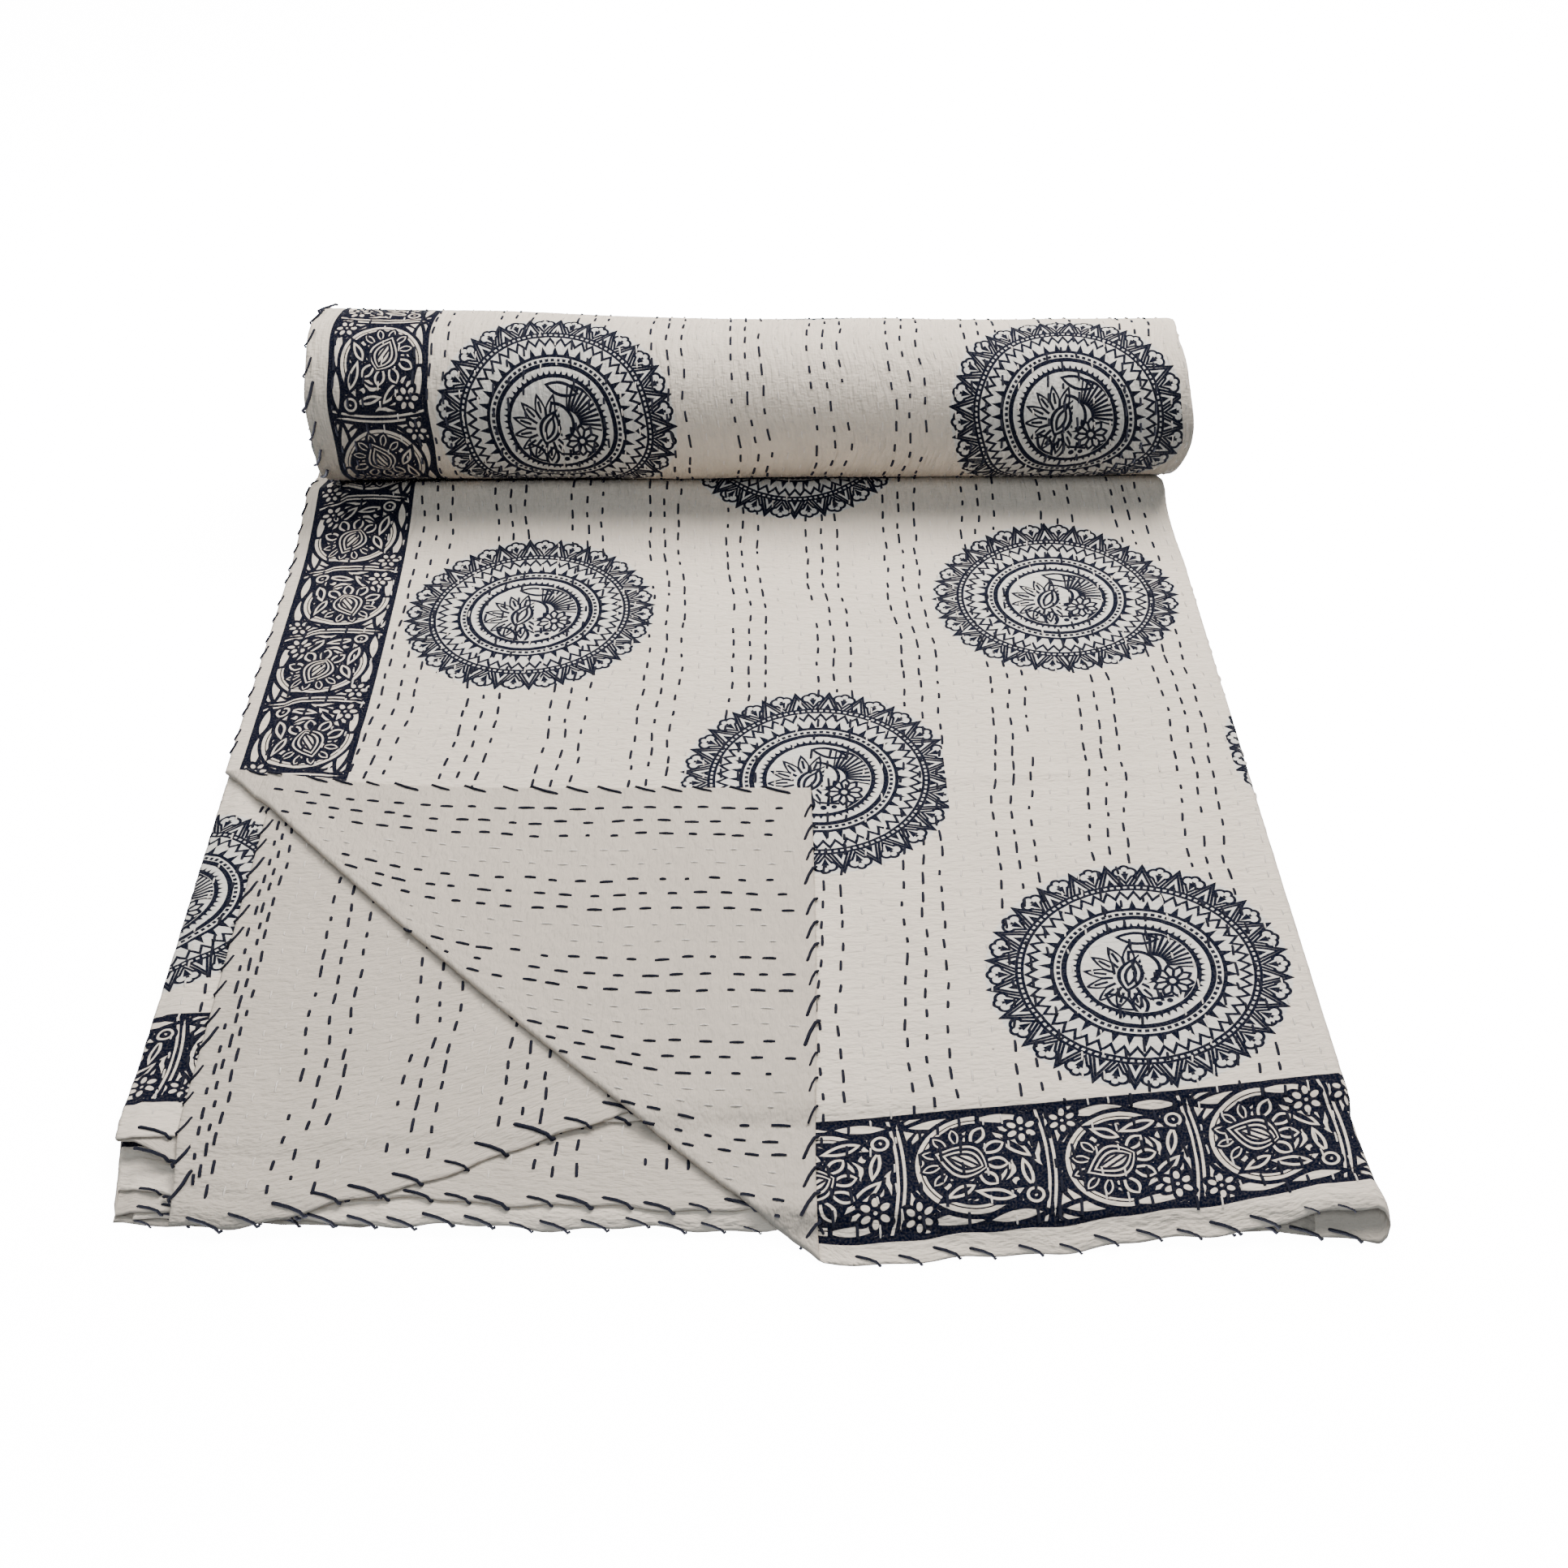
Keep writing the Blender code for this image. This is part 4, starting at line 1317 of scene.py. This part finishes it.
# bare cloth between the edges and the border: at the upper half's sides, the lower half's, the ends
SIDE_INSET, LOWER_SIDE_INSET, END_INSET = 8.5, 14.5, 9.5
# where the border's blocks start: along the ends, along the sides, and the halves' difference there
END_START, SIDE_START, HALF_START = 4.0, 39.5, 3.5
# the print runs askew: it moves from the end edge by this share of the way in past SLIP_FROM,
# away from it or, for the lower half's stamps, towards it
PRINT_SLIP, SLIP_FROM = 0.02, 330.0
# how far each column of stamps stands off its even place
COLUMN_OFFSETS = {0: 1, 1: 8, 2: 5, 3: -7, 4: 4, 5: -4, 6: -3, 7: -10, 8: 3, 9: -4, 10: 2, 11: 5, 12: 0}


def print_group(mandala, border):
    """Where the blocks left ink, and the faint cast inside the round stamps."""
    tree, given, result = group("block_print", [("Cloth", "NodeSocketVector")],
                                [INK_SOCKET, ("Cast", "NodeSocketFloat")])
    u, v = (axis * 1000.0 for axis in split(given["Cloth"]))
    from_side = least(u, UPPER.width * 1000.0 - u)
    slip = (from_side - SLIP_FROM) * PRINT_SLIP
    half = calc(tree, "SIGN", QUILT_LENGTH * 500.0 - v)
    from_end = least(v, QUILT_LENGTH * 1000.0 - v)
    v = from_end - slip * half
    column = calc(tree, "ROUND", (u - COLUMN_FIRST) * (1 / COLUMN_PITCH))
    odd = abs(fraction(column * 0.5)) * 2.0
    first = odd * (ODD_ROWS[0] - EVEN_ROWS[0]) + EVEN_ROWS[0]
    step = odd * (ODD_ROWS[1] - EVEN_ROWS[1]) + EVEN_ROWS[1]
    row = calc(tree, "ROUND", calc(tree, "DIVIDE", v - first, step))
    chance = tree.nodes.new("ShaderNodeTexWhiteNoise")
    chance.noise_dimensions = "2D"
    feed(tree, paired(column, row), chance.inputs["Vector"])
    slip_u, slip_v = split(Field(tree, chance.outputs["Color"]))
    lean = least(row, column, 1.0) * (half + 1.0) * ROW_LEAN
    x = u - column * COLUMN_PITCH - COLUMN_FIRST - stamp_offset(column) - (slip_u - 0.5) * STAMP_STRAY + lean
    y = v - row * step - first - column * (1.0 - row * 0.5) * COLUMN_RISE - (slip_v - 0.5) * STAMP_STRAY
    turned = tree.nodes.new("ShaderNodeVectorRotate")
    turned.rotation_type = "Z_AXIS"
    feed(tree, paired(x, y * half), turned.inputs["Vector"])
    feed(tree, (slip_u - 0.5) * STAMP_TURN, turned.inputs["Angle"])
    spot = seen_from(Field(tree, turned.outputs[0]), 0, 0, 0, STAMP_SCALE, STAMP_SCALE)
    outside = radius_of(spot) - STAMP_RADIUS - 1.0
    in_print = inside(least(column + 0.5, LAST_COLUMN + 0.5 - column, row + 0.5) * -10.0)
    allowed = in_print * inside(outside)
    stamp = use_group(tree, mandala, place=spot)["Ink"] * allowed
    side_inset = (SIDE_INSET + LOWER_SIDE_INSET) / 2 - half * ((LOWER_SIDE_INSET - SIDE_INSET) / 2)
    across_side = from_side - side_inset - BAND_HALF
    across_end = from_end - slip - END_INSET - BAND_HALF
    at_end = inside(abs(across_end) - BAND_HALF)
    in_frame = inside(side_inset - from_side)
    at_side = inside(abs(across_side) - BAND_HALF) * inside(END_INSET - from_end)
    across = across_end * at_end + across_side * (1.0 - at_end)
    along = (u + END_START) * at_end + (v + half * HALF_START + SIDE_START) * (1.0 - at_end)
    number = calc(tree, "ROUND", along * (1 / BLOCK_LENGTH))
    way = 1.0 - abs(fraction(number * 0.5)) * 4.0
    block = paired(along - number * BLOCK_LENGTH, across * way)
    band = use_group(tree, border, place=block)["Ink"] * most(at_side, at_end * in_frame)
    feed(tree, most(band, stamp), result.inputs["Ink"])
    feed(tree, inside(outside + 1.0, 1.0) * allowed, result.inputs["Cast"])
    return tree


def stamp_offset(column):
    """Reads COLUMN_OFFSETS on a curve."""
    tree = column.tree
    node = tree.nodes.new("ShaderNodeFloatCurve")
    curve = node.mapping.curves[0]
    span, reach = max(COLUMN_OFFSETS), 50.0
    places = [(k / span, 0.5 + offset / (2 * reach)) for k, offset in COLUMN_OFFSETS.items()]
    curve.points[0].location, curve.points[1].location = places[0], places[-1]
    for place in places[1:-1]:
        curve.points.new(*place)
    node.mapping.update()
    feed(tree, column * (1 / span), node.inputs["Value"])
    return (Field(tree, node.outputs[0]) - 0.5) * (2 * reach)


# ---------------------------------------------------------------- finishes
PRINTED_WHITE, PRINTED_GREY = (0.63, 0.553, 0.468), (0.52, 0.458, 0.389)
# the unprinted side: a little greyer than the printed side, and darker beyond that as painted shade on the
# turned corner and the layers near the near end
PLAIN_WHITE_AND_SHADE, PLAIN_GREY_AND_SHADE = (0.455, 0.400, 0.340), (0.378, 0.333, 0.284)
INK_NAVY = (0.0010, 0.0024, 0.0100)
# the faint grey cast inside the round stamps, and how strongly it shows
CAST_GREY, CAST_STRENGTH = (0.43, 0.46, 0.47), 0.45
# each thread's dark and light
NAVY_YARN = ((0.0015, 0.0018, 0.006), (0.006, 0.008, 0.022))
WHITE_YARN = ((0.52, 0.47, 0.42), (0.66, 0.60, 0.54))


def noise(tree, vector, scale, detail, dimensions="2D"):
    """Soft, even noise from 0 to 1."""
    node = tree.nodes.new("ShaderNodeTexNoise")
    node.noise_dimensions = dimensions
    node.inputs["Scale"].default_value = scale
    node.inputs["Detail"].default_value = detail
    feed(tree, vector, node.inputs["Vector"])
    return Field(tree, node.outputs[0])


SHADE_AND_HEIGHT = [("Shade", "NodeSocketFloat"), ("Height", "NodeSocketFloat")]


def cotton_group():
    """Washed cotton: its colour's unevenness with painted shade along its crinkles, and the height of its
    weave and crinkles.
    """
    tree, given, result = group("washed_cotton", [("Rows", "NodeSocketVector")], SHADE_AND_HEIGHT)
    rows = given["Rows"]
    crinkle = noise(tree, seen_from(rows, 0, 0, 0, 0.0080, 0.0030), 1.0, 2.0)
    fine = noise(tree, seen_from(rows, 0, 0, 0, 0.0035, 0.0016), 1.0, 1.0)
    blotch = noise(tree, rows, 26.0, 3.0)
    warp = calc(tree, "SINE", split(rows)[0] * 9000.0)
    weft = calc(tree, "SINE", split(rows)[1] * 8200.0)
    streaks = noise(tree, seen_from(rows, 0, 0, 0, 0.0030, 0.0160), 1.0, 2.0)
    # from half a metre along the cloth on, towards the roll, long streaks take the crinkles' place
    rolled = calc(tree, "MULTIPLY_ADD", split(rows)[1], 16.0, -8.0, clamp=True)
    crinkle = crinkle + (streaks * 1.7 - crinkle) * rolled
    height = crinkle * 0.0011 + fine * 0.00045 + (warp + weft) * 0.000008
    feed(tree, height, result.inputs["Height"])
    # Shade: real mottling from the blotches, plus painted shade that follows the crinkles and the roll's
    # streaks
    feed(tree, calc(tree, "ADD", blotch * 0.7, crinkle * 0.45, clamp=True), result.inputs["Shade"])
    return tree


def mixed(tree, factor, first, second):
    """A colour from the first to the second by the factor."""
    node = tree.nodes.new("ShaderNodeMix")
    node.data_type = "RGBA"
    for value, socket in ((factor, node.inputs[0]), (first, node.inputs[6]), (second, node.inputs[7])):
        feed(tree, value, socket)
    return Field(tree, node.outputs[2])


def new_material(name, roughness):
    """A material, its tree and its shader."""
    material = bpy.data.materials.new(name)
    material.use_nodes = True
    shader = material.node_tree.nodes["Principled BSDF"]
    shader.inputs["Roughness"].default_value = roughness
    return material, material.node_tree, shader


def roughen(tree, shader, height, strength):
    """Bumps the shader's surface by a height in metres."""
    bump = tree.nodes.new("ShaderNodeBump")
    bump.inputs["Strength"].default_value = strength
    bump.inputs["Distance"].default_value = 1.0
    feed(tree, height, bump.inputs["Height"])
    tree.links.new(bump.outputs[0], shader.inputs["Normal"])


def cotton(name, made_cotton, white, grey, made_print=None):
    """Cotton cloth, plain or block-printed."""
    material, tree, shader = new_material(name, 0.88)
    maps = {}
    for label in ("cloth", "rows"):
        node = tree.nodes.new("ShaderNodeUVMap")
        node.uv_map = label
        maps[label] = Field(tree, node.outputs[0])
    cloth = use_group(tree, made_cotton, rows=maps["rows"])
    # the cloth's Shade mixes real mottling with painted shade along the crinkles
    colour = mixed(tree, cloth["Shade"], (*white, 1), (*grey, 1))
    if made_print:
        stamp = use_group(tree, made_print, cloth=maps["cloth"])
        colour = mixed(tree, stamp["Cast"] * CAST_STRENGTH, colour, (*CAST_GREY, 1))
        worn = noise(tree, maps["cloth"], 900.0, 2.0)
        strength = calc(tree, "MULTIPLY_ADD", worn, 0.12, 0.93, clamp=True)
        colour = mixed(tree, stamp["Ink"] * strength, colour, (*INK_NAVY, 1))
    feed(tree, colour, shader.inputs["Base Color"])
    shader.inputs["Specular IOR Level"].default_value = 0.02
    roughen(tree, shader, cloth["Height"], 0.9)
    return material


def fibre_group():
    """Twisted cotton thread: its colour's unevenness and the height of its fibres."""
    tree, given, result = group("cotton_fibre", [PLACE_SOCKET], SHADE_AND_HEIGHT)
    feed(tree, noise(tree, given["Place"], 260.0, 2.0, "3D"), result.inputs["Shade"])
    feed(tree, noise(tree, given["Place"], 2600.0, 1.0, "3D") * 0.0004, result.inputs["Height"])
    return tree


def thread(name, made_fibre, dark, light, roughness):
    """Cotton thread, from its dark to its light colour."""
    material, tree, shader = new_material(name, roughness)
    place = tree.nodes.new("ShaderNodeTexCoord").outputs["Object"]
    fibre = use_group(tree, made_fibre, place=Field(tree, place))
    feed(tree, mixed(tree, fibre["Shade"], (*dark, 1), (*light, 1)), shader.inputs["Base Color"])
    shader.inputs["Specular IOR Level"].default_value = 0.2
    roughen(tree, shader, fibre["Height"], 1.0)
    return material


# ---------------------------------------------------------------- camera, light and floor
CAMERA_AT = (0.012, -0.832, 0.701)
# degrees below the horizon and to the right, and millimetres of lens and sensor
CAMERA_DOWN, CAMERA_RIGHT = 40.9, 0.93
LENS, SENSOR = 44.0, 36.0
# name, place, size, power, colour
LIGHTS = (
    ("window", (0.54, 0.82, 1.33), 0.8, 65, (1.0, 0.960, 0.91)),
    ("fill", (-0.2, -1.1, 1.5), 1.4, 19, (0.88, 0.95, 1.0)),
    ("back", (-0.55, 0.82, 1.38), 0.9, 23, (1.0, 0.97, 0.94)),
)
LIT_SPOT = (0, 0, 0.03)
SKY_COLOUR, SKY_STRENGTH = (0.72, 0.87, 1.0), 0.17
# the floor's side, its grey and how strongly it glows by itself
FLOOR_SIDE, FLOOR_PALE, FLOOR_GLOW = 12, 0.95, 14.0


def studio():
    """The camera, three soft lights, an even sky and a pale floor."""
    camera = bpy.data.cameras.new("camera")
    camera.lens, camera.sensor_width = LENS, SENSOR
    view = bpy.data.objects.new("camera", camera)
    view.location = CAMERA_AT
    view.rotation_euler = (math.radians(90 - CAMERA_DOWN), 0, -math.radians(CAMERA_RIGHT))
    bpy.context.scene.collection.objects.link(view)
    bpy.context.scene.camera = view
    for name, place, size, power, colour in LIGHTS:
        light = bpy.data.lights.new(name, "AREA")
        light.energy, light.size, light.color = power, size, colour
        lamp = bpy.data.objects.new(name, light)
        lamp.location = place
        direction = mathutils.Vector(LIT_SPOT) - mathutils.Vector(place)
        lamp.rotation_euler = direction.to_track_quat("-Z", "Y").to_euler()
        bpy.context.scene.collection.objects.link(lamp)
    world = bpy.data.worlds.new("studio")
    world.use_nodes = True
    sky = world.node_tree.nodes["Background"]
    sky.inputs["Color"].default_value = (*SKY_COLOUR, 1)
    sky.inputs["Strength"].default_value = SKY_STRENGTH
    bpy.context.scene.world = world
    bpy.ops.mesh.primitive_plane_add(size=FLOOR_SIDE, location=(0, 0, 0))
    floor = bpy.context.object
    floor.name = "floor"
    floor.visible_diffuse = False
    pale, _, shader = new_material("pale_floor", 0.9)
    shader.inputs["Base Color"].default_value = (FLOOR_PALE, FLOOR_PALE, FLOOR_PALE, 1)
    shader.inputs["Emission Color"].default_value = (1, 1, 1, 1)
    shader.inputs["Emission Strength"].default_value = FLOOR_GLOW
    floor.data.materials.append(pale)


def main():
    """Makes the finishes, the seven pieces of cloth and their stitches, and puts them on the model."""
    made_cotton, made_fibre = cotton_group(), fibre_group()
    blocks = print_group(mandala_group(), border_group())
    printed = cotton("printed_cotton", made_cotton, PRINTED_WHITE, PRINTED_GREY, blocks)
    # the plain side's colours hold painted shade as well as its own grey
    plain = cotton("plain_cotton", made_cotton, PLAIN_WHITE_AND_SHADE, PLAIN_GREY_AND_SHADE)
    finishes = [printed, plain]
    top, under, lower = top_layer(finishes), under_layers(finishes), lower_layers(finishes)
    cover, first_turn, lower_turns, upper_turns = roll(finishes)
    dark = thread("navy_thread", made_fibre, *NAVY_YARN, 0.85)
    white = thread("white_thread", made_fibre, *WHITE_YARN, 0.8)
    running, whipping = thread_tree("running_stitch", False), thread_tree("whip_stitch", True)
    flat_dark, rolled_dark = running_stitches(True, DARK_STITCH, 1000)
    flat_white, rolled_white = running_stitches(False, WHITE_STITCH, 5000)
    flat_edges, rolled_edges = edge_stitches()
    row, pale_row = (dict(thread=thick, rise=STITCH_RISE, sink=STITCH_SINK)
                     for thick in (THREAD, WHITE_THREAD))
    whip = dict(thread=THREAD, slant=WHIP_SLANT, depth=WHIP_DEPTH, half_thickness=CLOTH / 2 + WHIP_RISE)
    flat_sewing = [sewn("dark_stitches", running, flat_dark, dark, **row),
                   sewn("white_stitches", running, flat_white, white, **pale_row),
                   sewn("edge_stitches", whipping, flat_edges, dark, **whip)]
    roll_sewing = [sewn("roll_dark_stitches", running, rolled_dark, dark, **row),
                   sewn("roll_white_stitches", running, rolled_white, white, **pale_row),
                   sewn("roll_edge_stitches", whipping, rolled_edges, dark, **whip)]
    for piece in [top, under, lower, cover, first_turn, lower_turns, upper_turns] + flat_sewing + roll_sewing:
        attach(piece, "root")
        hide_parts("quilt")
    one_turn = length_rolled(LOWER, FULL_TURN, CLOTH / 2) - length_rolled(LOWER, 0, CLOTH / 2)
    lower_rolled = length_rolled(LOWER, ROLL_END, HALF_STACK) - length_rolled(LOWER, FULL_TURN, HALF_STACK)
    upper_rolled = length_rolled(UPPER, ROLL_END, HALF_STACK) - length_rolled(UPPER, 0, HALF_STACK)
    # each piece, the width and length it was cut to, what it lies on and what is sewn to it
    for piece, width, length, below, sewing in (
            (top, TOP_PIECE_WIDTH, SEAM_LENGTH, [under], flat_sewing),
            (under, UPPER.width - TOP_PIECE_WIDTH, SEAM_LENGTH, [lower], []),
            (lower, LOWER.width, LOWER_SEAM_LENGTH, [], []),
            (cover, TOP_PIECE_WIDTH, one_turn, [], roll_sewing),
            (first_turn, LOWER.width - TOP_PIECE_WIDTH, one_turn, [cover], []),
            (lower_turns, LOWER.width, lower_rolled, [first_turn], []),
            (upper_turns, UPPER.width, upper_rolled, [first_turn], [])):
        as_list(below)
        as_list(sewing)
    studio()


main()
